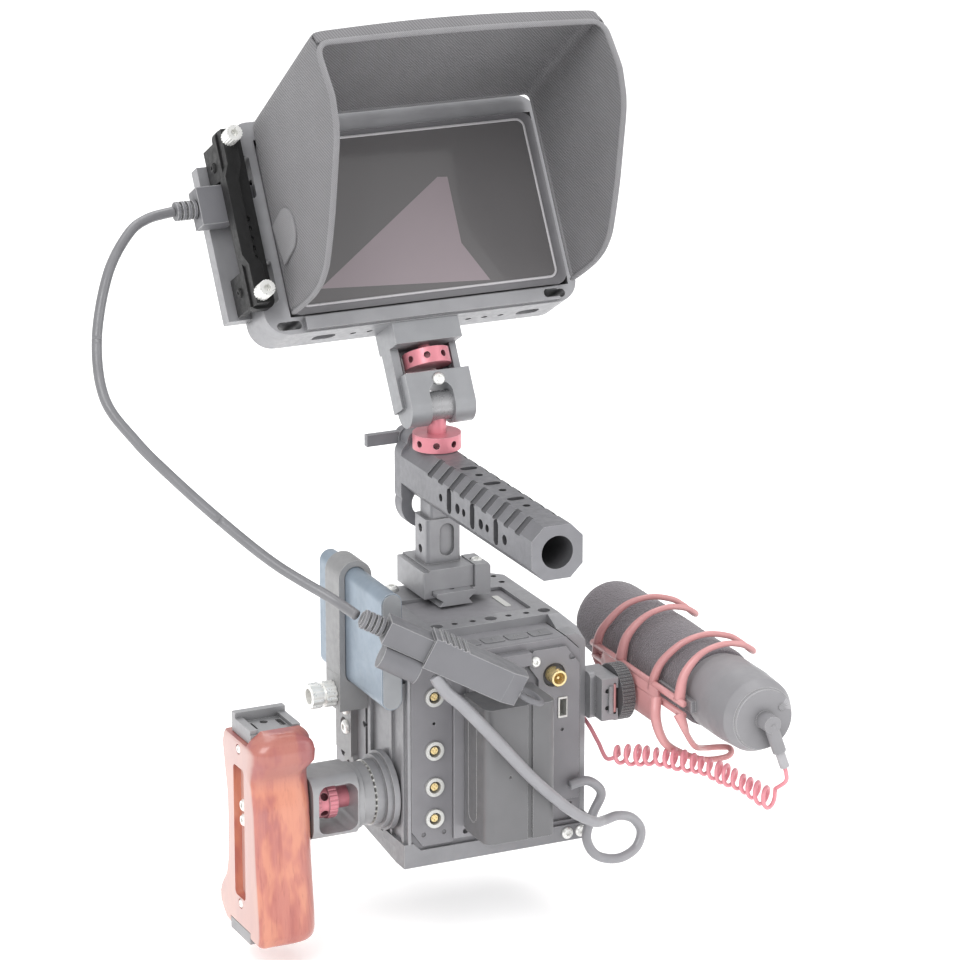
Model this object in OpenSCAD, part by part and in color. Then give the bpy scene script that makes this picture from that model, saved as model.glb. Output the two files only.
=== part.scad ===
// Cinema camera rig: box camera in a cage with a top handle, a tilting monitor in a sunhood,
// a wooden side grip, a solid-state drive in a clamp and a shotgun microphone.
// Origin: centre of the base plate's underside. +X operator's right, +Y towards the lens, +Z up.

/* [Camera body] */
// Width of the camera body
cam_w = 93; // [91:0.5:93]
// Height of the camera body above the base plate
cam_h = 99; // [97:0.5:99]
// Rear face of the camera body
cam_rear = -34; // [-34.5:0.5:-33.5]
// Front face of the camera body
cam_front = 57; // [55:0.5:60]
// Wall thickness of the casing
cam_wall = 3; // [2.5:0.1:3.2]
// Lens throat radius
throat_r = 23; // [20:0.5:25]
// Lens flange radius
flange_r = 34; // [33:0.5:35]

/* [Cage] */
// Outer width of the cage and the base plate
cage_w = 101; // [101:0.5:104]
// Thickness of the base plate
base_t = 8.5; // [8:0.1:8.5]
// Rear edge of the base plate
base_rear = -36; // [-37:0.5:-36]
// Thickness of the cage's top frame
top_t = 4.5; // [4:0.1:5]
// Tripod thread radius, 1/4 inch
quarter_r = 3.175; // [3.175]
// Large tripod thread radius, 3/8 inch
three_eighth_r = 4.7625; // [4.7625]

/* [Handle] */
// Sideways place of the handle, the arm and the monitor
mid_x = 4; // [2:0.5:5]
// Length of the tube
handle_len = 152; // [148:1:156]
// Rear end of the tube
handle_rear = -94; // [-96:1:-92]
// Height of the tube's axis
handle_z = 174.5; // [174:0.1:175]
// Width of the square tube
handle_w = 27; // [26:0.5:28]
// Rod bore radius in the tube
rod_r = 7.5; // [7.5]

/* [Monitor] */
// Height of the arm's tilt axis
tilt_z = 210; // [210:0.5:211]
// Distance of the tilt axis in front of the origin
tilt_y = 44; // [43:0.5:45]
// Lean of the monitor away from the operator
lean = 30; // [20:1:35]
// Monitor width
mon_w = 151; // [148:1:152]
// Monitor height
mon_h = 91; // [88:1:92]
// Depth of the sunhood
hood_d = 99; // [90:1:102]

/* [Grip and drive] */
// Height of the rosette's axis
rosette_z = 34; // [33:0.5:35]
// Distance of the rosette's axis from the origin, towards the lens
rosette_y = -12; // [-13:0.5:-11]
// Height of the wooden grip
grip_h = 107; // [105:1:109]
// Thickness of the wooden grip
grip_t = 32.5; // [31:0.5:33]
// Length of the drive
drive_len = 76; // [72:1:78]
// Height of the drive
drive_h = 60; // [57:0.5:61]

/* [Microphone] */
// Sideways place of the microphone's axis
mic_x = 100; // [99:0.5:101]
// Height of the microphone's axis
mic_z = 85.5; // [85:0.5:86]
// Radius of the foam windshield
foam_r = 20.5; // [19:0.5:21]

/* [Hidden] */
$fn = 48;
fit_gap = 0.05;      // radial running clearance of shafts
gap = 0.3;           // clearance between pieces that don't touch
hc = cam_w / 2;      // half the camera's width
hw = cage_w / 2;     // half the cage's width
cam_z0 = base_t;
cam_z1 = cam_z0 + cam_h;
top_z0 = cam_z1;
top_z1 = top_z0 + top_t;
top_hw = 46;         // half the width of the cage's flat top
side_z0 = base_t + 4;
face_y = cam_rear - 2;            // plane of the rear modules
rail_z0 = top_z1;
rail_z1 = rail_z0 + 7;
clamp_y0 = 26.5;
clamp_y1 = 60;
clamp_w = 24;
clamp_z1 = 130;
post_z1 = handle_z - handle_w / 2;
handle_front = handle_rear + handle_len;
rod_clamp_t = 8;
rod_clamp_z = handle_z - 19;   // lower rod bore
lever_z = handle_z + 14;
lever_x = mid_x - 6;
chamfer = 6.5;       // corner chamfer of the tube
ring_z0 = handle_z + handle_w / 2 + 0.4;
ring_t = 8;
ring_r = 12.25;
stud_r = 4.8;
stud_z0 = handle_z + 8;
barrel_r = 7.4;
cheek_r = 9.5;
arm_w = 35;
shoe_v0 = 31;
mon_v0 = 42;         // underside of the monitor cage, measured up the arm from the tilt axis
mon_v = mon_v0 + 9;  // underside of the monitor itself
mon_x = 3.5;         // monitor's offset from the arm
face_w = 15;         // plane of the monitor's face
cage_v1 = mon_v0 + 110;
clamp_x = -89.5;     // centre line of the cable clamp beside the monitor
clamp_v = [62, 141.5];  // heights of its two thumbscrews
hdmi_y = -4;         // the cable's plug beside the monitor
hdmi_v = 113;
drive_x = -56.6;
drive_t = 10.8;
drive_y0 = base_rear;
drive_z0 = 84.5;
band_y = 8;
band_w = 17;
knob_z = 77.5;
grip_x1 = -95.5;     // face of the grip towards the camera
grip_x0 = grip_x1 - grip_t;
grip_y = rosette_y;  // middle of the grip
grip_z1 = 76;
grip_z0 = grip_z1 - grip_h;
grip_slot_z = 24;    // middle of the slot
groove_depth = 4;    // recess of the grip's screw heads
grip_screw_z = 3.9;  // half the distance between the grip's screws
wheel_x = -91.4;     // outer face of the lock wheel
ring_x = -62;        // toothed face of the rosette
hoop_r = 25.2;       // the suspension's loops
mic_wheel_y = -34;
mic_wheel_z = 75;
mic_stem_r = 3;
casing_chamfer = 8;
lens_z = 58;
fan_shaft_r = 1.55;
menu_x = [-9.6, 3.3, 16.2, 29.1];
menu_y = -23;
menu_size = [11, 8];
socket_x = -34.3;
socket_z = [24.5, 41, 60, 88];
battery_x = [-20, 18];
battery_y = [-66, -38];
battery_z = [18, 88];
battery_x_mid = (battery_x[0] + battery_x[1]) / 2;
latch_x = [-6, 4];
mic_y = [-126, 47];
jack_y = 0;          // microphone jack in the camera's right side
jack_z = 60.2;

// ---- shared shapes ----

// Rounded rectangle centred on the origin
module round_rect(w, h, r) {
    square([w - 2 * r, h], center = true);
    square([w, h - 2 * r], center = true);
    for (x = [-1, 1], y = [-1, 1])
        translate([x * (w / 2 - r), y * (h / 2 - r)]) circle(r);
}

// Straight slot with round ends, centred, its long side along Y
module slot_2d(w, h) {
    square([w, h - w], center = true);
    for (s = [-1, 1]) translate([0, s * (h - w) / 2]) circle(w / 2);
}

// Plates drawn in the plane named, starting at the coordinate given
module plate_xy(z, t) { translate([0, 0, z]) linear_extrude(t) children(); }
module plate_xz(y, t) { translate([0, y + t, 0]) rotate([90, 0, 0]) linear_extrude(t) children(); }
module plate_yz(x, t) { translate([x, 0, 0]) rotate([90, 0, 90]) linear_extrude(t) children(); }

// Box between two corners
module box(a, b) { translate(a) cube(b - a); }

// Cylinders along X and Y, starting at the point given
module rod_x(p, r, l) { translate(p) rotate([0, 90, 0]) cylinder(r = r, h = l); }
module rod_y(p, r, l) { translate(p) rotate([-90, 0, 0]) cylinder(r = r, h = l); }
module rod_z(p, r, l) { translate(p) cylinder(r = r, h = l); }

// Button-head screw with a hexagon socket, its head's underside on the XY plane
module button_screw(r, head, shank = 0) {
    difference() {
        union() {
            cylinder(r = r, h = head * 0.55);
            translate([0, 0, head * 0.55]) cylinder(r1 = r, r2 = r * 0.72, h = head * 0.45);
            if (shank > 0) translate([0, 0, -shank]) cylinder(r = r * 0.52, h = shank + 0.1);
        }
        translate([0, 0, head * 0.4]) cylinder(r = r * 0.42, h = head, $fn = 6);
    }
}

// Knob with a fluted rim, along +Z
module fluted_knob(r, h, flutes, depth) {
    difference() {
        cylinder(r = r, h = h);
        for (i = [0 : flutes - 1]) rotate(i * 360 / flutes)
            translate([r + depth * 0.35, 0, -1]) cylinder(r = depth, h = h + 2, $fn = 24);
    }
}

// Places children in the monitor's frame: X across, Y into the face, Z up the arm
module on_arm() { translate([mid_x, tilt_y, tilt_z]) rotate([-lean, 0, 0]) children(); }

// Catmull-Rom curve through the points of a cable
function spline_point(a, b, c, d, t) =
    0.5 * (2 * b + (c - a) * t + (2 * a - 5 * b + 4 * c - d) * t * t
        + (3 * b - a - 3 * c + d) * t * t * t);
function spline(p, steps) = [
    for (i = [0 : len(p) - 2], s = [0 : steps - 1])
        spline_point(p[max(i - 1, 0)], p[i], p[i + 1], p[min(i + 2, len(p) - 1)], s / steps),
    p[len(p) - 1]];
function unit(v) = v / norm(v);

// Tube swept along a path, of one radius or a list of them. Each ring of points is turned as
// little as possible from the last.
function direction(path, i) = unit(path[min(i + 1, len(path) - 1)] - path[max(i - 1, 0)]);
function across(v, t) = unit(v - (v * t) * t);
function normals(path, v, i = 0) = i == len(path) ? []
    : let (u = across(v, direction(path, i))) concat([u], normals(path, u, i + 1));
module swept_tube(path, r, sides) {
    n = len(path);
    first = direction(path, 0);
    function radius(i) = is_list(r) ? r[i] : r;
    u = normals(path, abs(first[2]) < 0.8 ? [0, 0, 1] : [1, 0, 0]);
    ring = [for (i = [0 : n - 1])
        let (v = cross(direction(path, i), u[i]))
        for (k = [0 : sides - 1])
            path[i] + radius(i) * (cos(360 * k / sides) * u[i] + sin(360 * k / sides) * v)];
    polyhedron(ring, concat(
        [[for (k = [0 : sides - 1]) k]],
        [for (i = [0 : n - 2], k = [0 : sides - 1], half = [0, 1])
            let (a = i * sides + k, b = i * sides + (k + 1) % sides, c = a + sides, d = b + sides)
            half == 0 ? [a, c, d] : [a, d, b]],
        [[for (k = [sides - 1 : -1 : 0]) (n - 1) * sides + k]]), convexity = 10);
}

// ---- base plate and cage ----

module base_plate() {
    color("dimgray") difference() {
        union() {
            plate_xy(0, base_t) polygon([[-hw, base_rear], [hw, base_rear], [hw, 40], [44, 56],
                [-36, 56], [-43.5, 44], [-hw, base_rear + 10]]);
            // side rails and the raised rear corners
            for (m = [0, 1]) mirror([m, 0, 0])
                box([-hw, base_rear, base_t - 1], [-hc - gap, base_rear + 26, side_z0]);
            plate_xz(base_rear, 1.6) polygon([[-hw, base_t], [-hw, side_z0], [-45.5, side_z0],
                [-41.5, base_t]]);
        }
        rod_z([0, 0, -1], quarter_r, base_t + 2);
        rod_z([0, 22, -1], three_eighth_r, base_t + 2);
        // pockets under the plate that save weight
        for (x = [-28, 28]) translate([x, 10, -1]) linear_extrude(4) round_rect(16, 50, 4);
    }
}

// Threads of the top frame: a row along the rear bar, every third one large, and the front corners
rear_row = [for (i = [0 : 8]) [-38 + i * 9.8, -4.5]];
function is_large(i) = i % 3 == 2;
front_row = [[-38, 49], [-26, 49], [40, 44], [40, 54], [-38, 14], [-38, 28]];

module cage_top() {
    color("dimgray") difference() {
        plate_xy(top_z0, top_t) difference() {
            polygon([[-top_hw, -10.5], [top_hw, -10.5], [top_hw, 54], [40, 60], [-40, 60],
                [-top_hw, 54]]);
            translate([8, 19.5]) round_rect(57, 37, 2);
        }
        // bevel along the rear bar
        translate([0, -10.5, top_z1 - 1.2]) rotate([35, 0, 0]) translate([-60, -8, 0])
            cube([120, 8, 8]);
        for (i = [0 : len(rear_row) - 1])
            rod_z([rear_row[i][0], rear_row[i][1], top_z0 - 1], is_large(i) ? quarter_r : 1.65,
                top_t + 2);
        for (p = front_row) rod_z([p[0], p[1], top_z0 - 1], 1.65, top_t + 2);
        rod_z([-38, 21, top_z0 - 1], quarter_r, top_t + 2);
    }
}

// Section of a cage side seen from behind: upright, and shoulder over the casing's chamfer
module side_section() {
    polygon([[hc + gap, side_z0], [hw, side_z0], [hw, top_z0 - 4.5], [top_hw, top_z0],
        [hc - casing_chamfer + 0.7, top_z0], [hc + gap, top_z0 - casing_chamfer + 0.4]]);
}

module cage_right() {
    color("dimgray") {
        difference() {
            plate_xz(-31, 77) side_section();
            // two windows and a row of threads in the upright
            for (z = [36, 68]) plate_yz(hc, 6) translate([10, z]) round_rect(44, 22, 4);
            for (y = [-24, 38], z = [24, 44, 64, 84])
                rod_x([hc - 1, y, z], 1.65, 8);
        }
        // arm that falls towards the rear
        intersection() {
            plate_xz(-31, 20.5) polygon([[hc - casing_chamfer + 1, top_z0],
                [hc + gap, top_z0 - casing_chamfer + 1], [hw, top_z0 - casing_chamfer + 1],
                [hw, top_z0], [top_hw, top_z1], [hc - casing_chamfer + 1, top_z1]]);
            plate_yz(30, 25) polygon([[-31, 90], [-31, top_z1 - 9], [-10.5, top_z1], [-10.5, 90]]);
        }
    }
}

module cage_left() {
    color("dimgray") mirror([1, 0, 0]) difference() {
        union() {
            // the upright is thin at the rear and full further forward
            intersection() {
                plate_xz(base_rear, 82) side_section();
                union() {
                    box([0, base_rear, 0], [hw - 2.2, 5, 200]);
                    box([0, 4.9, 0], [hw + 1, 200, 200]);
                }
            }
            for (y = [-33, -19]) box([hc + gap, y, side_z0], [hw - 0.8, y + 2.4, 96]);
        }
        // slots in the thick front part
        for (z = [88, 40]) plate_yz(hc, 6) translate([38, z]) round_rect(8, 12, 2);
        plate_yz(hw - 1.2, 3) translate([9.5, 48]) round_rect(3, 60, 1);
        for (z = [60, 72]) rod_x([hc - 1, 12.5, z], 1.65, 8);
        for (p = [[38, 60], [38, 68], [38, 22]]) rod_x([hc - 1, p[0], p[1]], 1.65, 8);
    }
}

// ---- camera ----

// Outline of the casing seen from behind, the top corners chamfered
module casing_section(inset) {
    h = hc - inset;
    c = casing_chamfer - inset * 0.41;
    polygon([[-h, cam_z0 + inset], [h, cam_z0 + inset], [h, cam_z1 - c - inset * 0.59],
        [h - c, cam_z1 - inset], [-h + c, cam_z1 - inset], [-h, cam_z1 - c - inset * 0.59]]);
}

module camera_shell() {
    color("#4a4a4d") difference() {
        plate_xz(cam_rear + cam_wall, cam_front - cam_rear - cam_wall) casing_section(0);
        plate_xz(cam_rear - 1, cam_front - cam_rear - cam_wall + 1) casing_section(cam_wall);
        rod_y([0, cam_front - 10, lens_z], throat_r, 20);
        // seat of the touch screen
        box([-20, 1.5, cam_z1 - 1.8], [36, 37.5, cam_z1 + 5]);
        // wells of the menu buttons
        for (x = menu_x) translate([x, menu_y, cam_z1 - 2]) linear_extrude(9)
            round_rect(menu_size[0] + 0.4, menu_size[1] + 0.4, 1.6);
        for (x = menu_x) rod_z([x, menu_y, cam_z1 - 6], 1.55, 6);
        // grooves down the left side and air slots on the right side
        for (y = [-26, -10]) box([-hc - 1, y, 20], [-hc + 1, y + 3, 92]);
        for (z = [26 : 6 : 44]) plate_yz(hc - cam_wall - 1, 9) translate([12, z])
            rotate(90) slot_2d(2.4, 36);
        // microphone jack in the right side
        rod_x([hc - cam_wall - 1, jack_y, jack_z], 1.8, 9);
    }
}

module rear_cover() {
    color("#4a4a4d") difference() {
        union() {
            plate_xz(cam_rear, cam_wall) casing_section(0);
            // raised module on the right, and the brow over the battery
            plate_xz(face_y, 2.1) polygon([[22.5, cam_z0 + 14], [hc - 1.5, cam_z0 + 14],
                [hc - 1.5, cam_z1 - 14], [hc - 9, cam_z1 - 4], [20, cam_z1 - 4],
                [17.5, cam_z1 - 7], [17.5, 95], [22.5, 88]]);
            box([-10, face_y - 3.5, 97.5], [17, cam_rear + 0.1, 104]);
        }
        rod_y([31, face_y - 1, 89.4], 6.2, cam_wall + 4);
        box([33, face_y - 1, 66.3], [38.2, cam_rear + cam_wall + 1, 77.3]);
        rod_y([35.5, face_y - 1, 60], 0.9, 1.8);
        box([26, cam_rear - 1, cam_z0 + 2], [42, cam_rear + 1.6, cam_z0 + 11.5]);
        // openings behind the port module and the battery plate
        box([-42, cam_rear - 1, 16], [-27, cam_rear + cam_wall + 1, 98]);
        box([-12, cam_rear - 1, 30], [10, cam_rear + cam_wall + 1, 70]);
        for (p = [[20.5, 97.8], [41, 98]]) rod_y([p[0], face_y - 1, p[1]], 1.9, 2.2);
    }
}

module lens_mount() {
    color("silver") difference() {
        union() {
            rod_y([0, cam_front, lens_z], flange_r, 6);
            rod_y([0, cam_front + 6, lens_z], flange_r - 3, 4);
            rod_y([0, cam_front + 10, lens_z], flange_r - 7, 5.2);
        }
        rod_y([0, cam_front - 1, lens_z], throat_r, 20);
        for (a = [45 : 90 : 315]) translate([0, 0, lens_z]) rotate([0, a, 0])
            rod_y([28, cam_front + 8.5, 0], 1.2, 3);
    }
}

module lens_lock_ring() {
    color("#3c3c40") difference() {
        union() {
            translate([0, cam_front + 10.3, lens_z]) rotate([-90, 0, 0])
                fluted_knob(flange_r - 1, 7, 36, 1.1);
            rotate_about_lens(35) box([flange_r - 5, cam_front + 11.3, lens_z - 5],
                [flange_r + 4, cam_front + 16.3, lens_z + 5]);
        }
        rod_y([0, cam_front + 9, lens_z], flange_r - 7 + fit_gap, 20);
    }
}

module rotate_about_lens(a) {
    translate([0, 0, lens_z]) rotate([0, a, 0]) translate([0, 0, -lens_z]) children();
}

module touch_screen() {
    color("#2c2c30") {
        box([-19.8, 1.7, cam_z1 - 1.8], [35.8, 37.3, cam_z1 - 0.3]);
        difference() {
            box([27, 10, cam_z1 - 0.3], [31.5, 29, cam_z1 + 0.7]);
            box([28.2, 11.5, cam_z1 - 0.2], [30.3, 27.5, cam_z1 + 1]);
        }
    }
}

module port_module() {
    color("#56565a") difference() {
        plate_xz(face_y, 2) polygon([[-hc, 19], [-40.5, 10.5], [-24.5, 10.5], [-24.5, 100],
            [-hc + 7, 106], [-hc, 98]]);
        for (z = socket_z) rod_y([socket_x, face_y - 1, z], 4.9, 4);
        rod_y([socket_x, face_y - 1, 74], 0.8, 4);
        for (x = [-40, -29]) rod_y([x, face_y - 1, 16.5], 1.3, 1.6);
    }
}

// Round socket with its contacts, its face towards the rear
module round_socket(x, z) {
    difference() {
        rod_y([x, face_y - 1.4, z], 4.85, 12);
        rod_y([x, face_y - 2, z], 3.1, 7);
    }
    rod_y([x, face_y - 0.4, z], 1.9, 6);
    for (a = [0 : 90 : 270]) rod_y([x + 1.05 * cos(a), face_y - 1, z + 1.05 * sin(a)], 0.35, 2);
}

module connector_sockets() {
    color("gold") {
        for (z = socket_z) round_socket(socket_x, z);
        // coaxial socket of the signal output
        difference() {
            union() {
                rod_y([31, face_y - 6, 89.4], 4, 12);
                rod_y([31, cam_rear, 89.4], 6.1, 3);
                rod_z([31, face_y - 3.5, 89.4 - 5], 0.8, 10);
            }
            rod_y([31, face_y - 7, 89.4], 3, 8);
        }
        rod_y([31, face_y - 4.5, 89.4], 0.7, 6);
        // frame of the network socket
        difference() {
            box([33.1, face_y - 0.5, 66.4], [38.1, cam_rear + 8, 77.2]);
            box([34, face_y - 1, 67.4], [37.6, cam_rear + 7, 76.2]);
        }
    }
}

module battery_plate() {
    y = battery_y[1] + 0.4;
    color("#48484b") difference() {
        union() {
            box([battery_x[0] - 4.2, y, 12.5], [battery_x[1] + 2.5, cam_rear, 86]);
            box([battery_x[0] + 4, y, 13], [battery_x[1] - 4, cam_rear, 97.2]);
        }
        // four grooves that the battery's hooks drop into
        for (s = [-1, 1], z = [30, 62]) translate([battery_x_mid + 12 * s, 0, z])
            box([-2.2, y - 1, 0], [2.2, y + 2, 26]);
        for (s = [-1, 1]) rod_y([battery_x_mid + 17 * s, y - 1, 15.5], 1.5, 3);
        // well of the latch
        box([latch_x[0] - 0.2, y - 1, 89], [latch_x[1] + 0.2, cam_rear - 1, 96.2]);
    }
}

module battery_latch() {
    y = battery_y[1] + 0.1;
    color("#3a3a3d") difference() {
        box([latch_x[0], y, 91], [latch_x[1], cam_rear - 1.2, 95.8]);
        for (z = [92 : 1.2 : 94.4]) box([latch_x[0] + 1, y - 1, z], [latch_x[1] - 1, y + 0.5, z + 0.6]);
    }
}

// Battery outline seen from above, its rear corners rounded and a groove in its back
module battery_section() {
    w = battery_x[1] - battery_x[0];
    difference() {
        union() {
            translate([battery_x_mid, (battery_y[0] + battery_y[1]) / 2])
                round_rect(w, battery_y[1] - battery_y[0], 4.5);
            translate([battery_x[0] + 1, battery_y[1] - 6]) square([w - 2, 6]);
        }
        translate([battery_x_mid + 3.5, battery_y[0] - 1]) square([2.6, 2]);
    }
}

module battery_pack() {
    color("#5c5c60") difference() {
        union() {
            plate_xy(battery_z[0], battery_z[1] - battery_z[0]) battery_section();
            for (s = [-1, 1], z = [31, 63]) translate([battery_x_mid + 12 * s, battery_y[1], z])
                box([-1.8, -1, 0], [1.8, 2, 10]);
        }
        // long finger slots in both sides
        for (x = [battery_x[0] - 1, battery_x[1] - 0.2]) plate_yz(x, 1.2)
            translate([(battery_y[0] + battery_y[1]) / 2 + 2, 54]) difference() {
                slot_2d(10, 58);
                slot_2d(8.8, 56.8);
            }
        rod_y([battery_x_mid - 6, battery_y[0] - 1, 52], 0.8, 1.6);
    }
}

module menu_button(i) {
    color("#3a3a3d") translate([menu_x[i], menu_y, 0]) {
        plate_xy(cam_z1 - 1.2, 1.8) round_rect(menu_size[0], menu_size[1], 1.4);
        plate_xy(cam_z1 + 0.6, 0.3) rotate(90 * i) square([2.6, 0.9], center = true);
        rod_z([0, 0, cam_z1 - 5], 1.5, 4);
    }
}
module menu_button_1() { menu_button(0); }
module menu_button_2() { menu_button(1); }
module menu_button_3() { menu_button(2); }
module menu_button_4() { menu_button(3); }

// Board with rows of components, standing across the camera
module board(y, w, h) {
    box([-w / 2, y, 58 - h / 2], [w / 2, y + 1.6, 58 + h / 2]);
    for (x = [-w / 2 + 8 : 14 : w / 2 - 10], z = [58 - h / 2 + 6 : 16 : 58 + h / 2 - 12])
        box([x, y - 1.5, z], [x + 8, y + 0.1, z + 7]);
}

module circuit_boards() {
    color("darkgreen") {
        difference() {
            board(cam_front - 16, 70, 76);
            rod_y([0, cam_front - 20, lens_z], 4, 3);
        }
        // image sensor behind the throat
        box([-18, cam_front - 14.5, lens_z - 12], [18, cam_front - 12, lens_z + 12]);
        board(cam_front - 42, 76, 78);
        for (x = [-33, 33], z = [24, 92]) rod_y([x, cam_front - 40.5, z], 2, 40.5 - cam_wall);
    }
}

module heat_sink() {
    color("silver") {
        box([-30, 10.5, 30], [30, 13.5, 86]);
        for (x = [-29 : 5 : 26]) box([x, -2, 32], [x + 1.4, 10.6, 84]);
        // shaft of the fan
        rod_y([0, -25, lens_z], fan_shaft_r, 37);
    }
}

module cooling_fan() {
    color("#303033") {
        difference() {
            rod_y([0, -24, lens_z], 7, 9);
            rod_y([0, -26, lens_z], fan_shaft_r + fit_gap, 13);
        }
        for (a = [0 : 40 : 320]) translate([0, -23, lens_z]) rotate([0, a, 0])
            rotate([0, 0, 28]) box([-1.2, 0, 5], [1.2, 8, 19]);
    }
}

module cage_screws() {
    color("silver") {
        // two at the base plate's rear edge, right of the middle
        for (x = [38.5, 46]) translate([x, base_rear, 4.4]) rotate([90, 0, 0])
            button_screw(3, 1.8);
        // two in the left side below the drive clamp
        for (z = [54, 65.5]) translate([-hw, 29.5, z]) rotate([0, -90, 0])
            button_screw(4.3, 2);
        // two on the rear cover
        translate([20.5, face_y, 97.8]) rotate([90, 0, 0]) button_screw(2.7, 1.6);
        translate([-16, 56, top_z1]) button_screw(3.6, 2.4);
        for (x = [-34, 32]) translate([x, 54.5, top_z1]) button_screw(2.6, 1.6);
    }
}

// ---- handle ----

module nato_rail() {
    color("#505054") difference() {
        plate_xz(21, 45) translate([mid_x, 0]) polygon([[-9, rail_z0], [9, rail_z0], [7, rail_z0 + 2.5],
            [10.5, rail_z1 - 2], [10.5, rail_z1 - 0.6], [9.9, rail_z1], [-9.9, rail_z1],
            [-10.5, rail_z1 - 0.6], [-10.5, rail_z1 - 2], [-7, rail_z0 + 2.5]]);
        for (y = [27, 43.5, 60]) rod_z([mid_x, y, rail_z0 - 1], 1.65, 10);
    }
}

module handle_clamp() {
    color("#4c4c50") {
        difference() {
            union() {
                // block over the rail, with its fixed claw on the left
                box([mid_x - clamp_w / 2, clamp_y0, rail_z1 + fit_gap],
                    [mid_x + clamp_w / 2, clamp_y1, clamp_z1]);
                plate_xz(clamp_y0, clamp_y1 - clamp_y0) translate([mid_x, 0]) polygon([
                    [-15, clamp_z1 - 1], [-10.8, clamp_z1 - 1], [-10.8, rail_z1 - 2],
                    [-8.6, rail_z0 + 3.2],
                    [-15, rail_z0 + 3.2]]);
                // post and neck
                plate_xy(clamp_z1 - 0.1, 153.5 - clamp_z1) translate([mid_x, 43.5])
                    round_rect(19, 16, 2.2);
                plate_xy(153.3, post_z1 - 153.3) translate([mid_x, 43.5]) round_rect(14, 14, 2);
            }
            // round-ended recess in the post's rear face, two threads in its left face
            plate_xz(34, 3.2) translate([mid_x + 1.5, 142]) slot_2d(8, 17);
            for (z = [136.5, 147.5]) rod_x([mid_x - 10.5, 43.5, z], 2.2, 6);
        }
    }
}

module clamp_jaw() {
    color("#77777b") difference() {
        plate_xz(clamp_y0 - 2, 17) translate([mid_x, 0]) polygon([
            [clamp_w / 2 + 0.2, clamp_z1 + 0.6], [clamp_w / 2 + 7.5, clamp_z1 + 0.6],
            [clamp_w / 2 + 8.6, clamp_z1 - 1], [clamp_w / 2 + 8.6, rail_z0 + 1.5], [8.8, rail_z0 + 3.2],
            [10.9, rail_z1 - 2], [10.9, rail_z1 - 0.2], [clamp_w / 2 + 0.2, rail_z1 - 0.2]]);
        rod_z([mid_x + clamp_w / 2 + 4.4, clamp_y0 + 6, clamp_z1 - 1.6], 3.5, 4);
        rod_z([mid_x + clamp_w / 2 + 4.4, clamp_y0 + 6, rail_z0 + 5], 1.75, 20);
    }
}

module jaw_screw() {
    color("silver") translate([mid_x + clamp_w / 2 + 4.4, clamp_y0 + 6, clamp_z1 - 1.55])
        button_screw(3.2, 2.6, 6);
}

// Octagonal outline of the tube, seen along its length
module tube_section(w, c) {
    h = w / 2;
    polygon([[-h, -h + c], [-h + c, -h], [h - c, -h], [h, -h + c], [h, h - c], [h - c, h],
        [-h + c, h], [-h, h - c]]);
}

module top_handle() {
    side_slots = [for (i = [0 : 2]) handle_rear + 40 + i * 27];
    color("#515155") difference() {
        plate_xz(handle_rear, handle_len) translate([mid_x, handle_z]) tube_section(handle_w, chamfer);
        rod_y([mid_x, handle_rear - 1, handle_z], 8.3, 44);
        rod_y([mid_x, handle_front - 40, handle_z], rod_r, 60);
        // threads, pin holes and slots along both sides
        for (y = side_slots) plate_yz(mid_x - 20, 40) translate([y, handle_z]) slot_2d(5.4, 13);
        for (y = side_slots) for (d = [-9, 9])
            rod_x([mid_x - 20, y + d * 1.1, handle_z - 1], d < 0 ? 2.6 : 2, 40);
        // slots and holes along the top
        for (y = side_slots) translate([mid_x, y + 6, handle_z + 5]) linear_extrude(12)
            rotate(90) slot_2d(5, 9);
        for (y = side_slots) rod_z([mid_x, y - 6, handle_z + 5], 2, 12);
        // nine finger notches across each upper corner
        for (i = [0 : 8], s = [-1, 1])
            translate([mid_x + s * (handle_w / 2 - chamfer / 2), handle_rear + 16 + i * 12.6,
                handle_z + handle_w / 2 - chamfer / 2])
                rotate([0, s * 45, 0]) box([-7, -2.7, -0.8], [7, 2.7, 4]);
        // seat of the arm's stud
        rod_z([mid_x, tilt_y, stud_z0 - 0.2], stud_r + fit_gap, 20);
        // seat of the post's screws
        for (y = [39.5, 47.5]) rod_z([mid_x, y, handle_z - 20], 1.65, 12);
    }
}

module rod_clamp() {
    color("#58585c") difference() {
        plate_xz(handle_front, rod_clamp_t) translate([mid_x, handle_z]) {
            translate([0, -3]) round_rect(27, 34, 7);
            translate([0, 13]) round_rect(20, 13, 6);
            translate([0, -19]) circle(13.4);
        }
        rod_y([mid_x, handle_front - 1, rod_clamp_z], rod_r, 12);
        rod_y([mid_x, handle_front - 1, handle_z], rod_r, 12);
        rod_y([lever_x, handle_front - 1, lever_z], 2.4 + fit_gap, 12);
    }
}

module rod_lever() {
    y = handle_front + rod_clamp_t;
    color("#606064") difference() {
        union() {
            rod_y([lever_x, handle_front + gap, lever_z], 2.4, rod_clamp_t + 2);
            rod_y([lever_x, y + gap, lever_z], 5, 5);
            box([lever_x - 22, y + 1, lever_z - 3], [lever_x, y + 4.5, lever_z + 3]);
        }
        rod_y([lever_x, y + 3.5, lever_z], 1.6, 3);
    }
}

// ---- monitor arm ----

module arm_stud() {
    color("crimson") {
        rod_z([mid_x, tilt_y, stud_z0], stud_r, tilt_z - stud_z0 - 4);
        rod_x([mid_x - 15.5, tilt_y, tilt_z], barrel_r, 31);
    }
}

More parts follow.
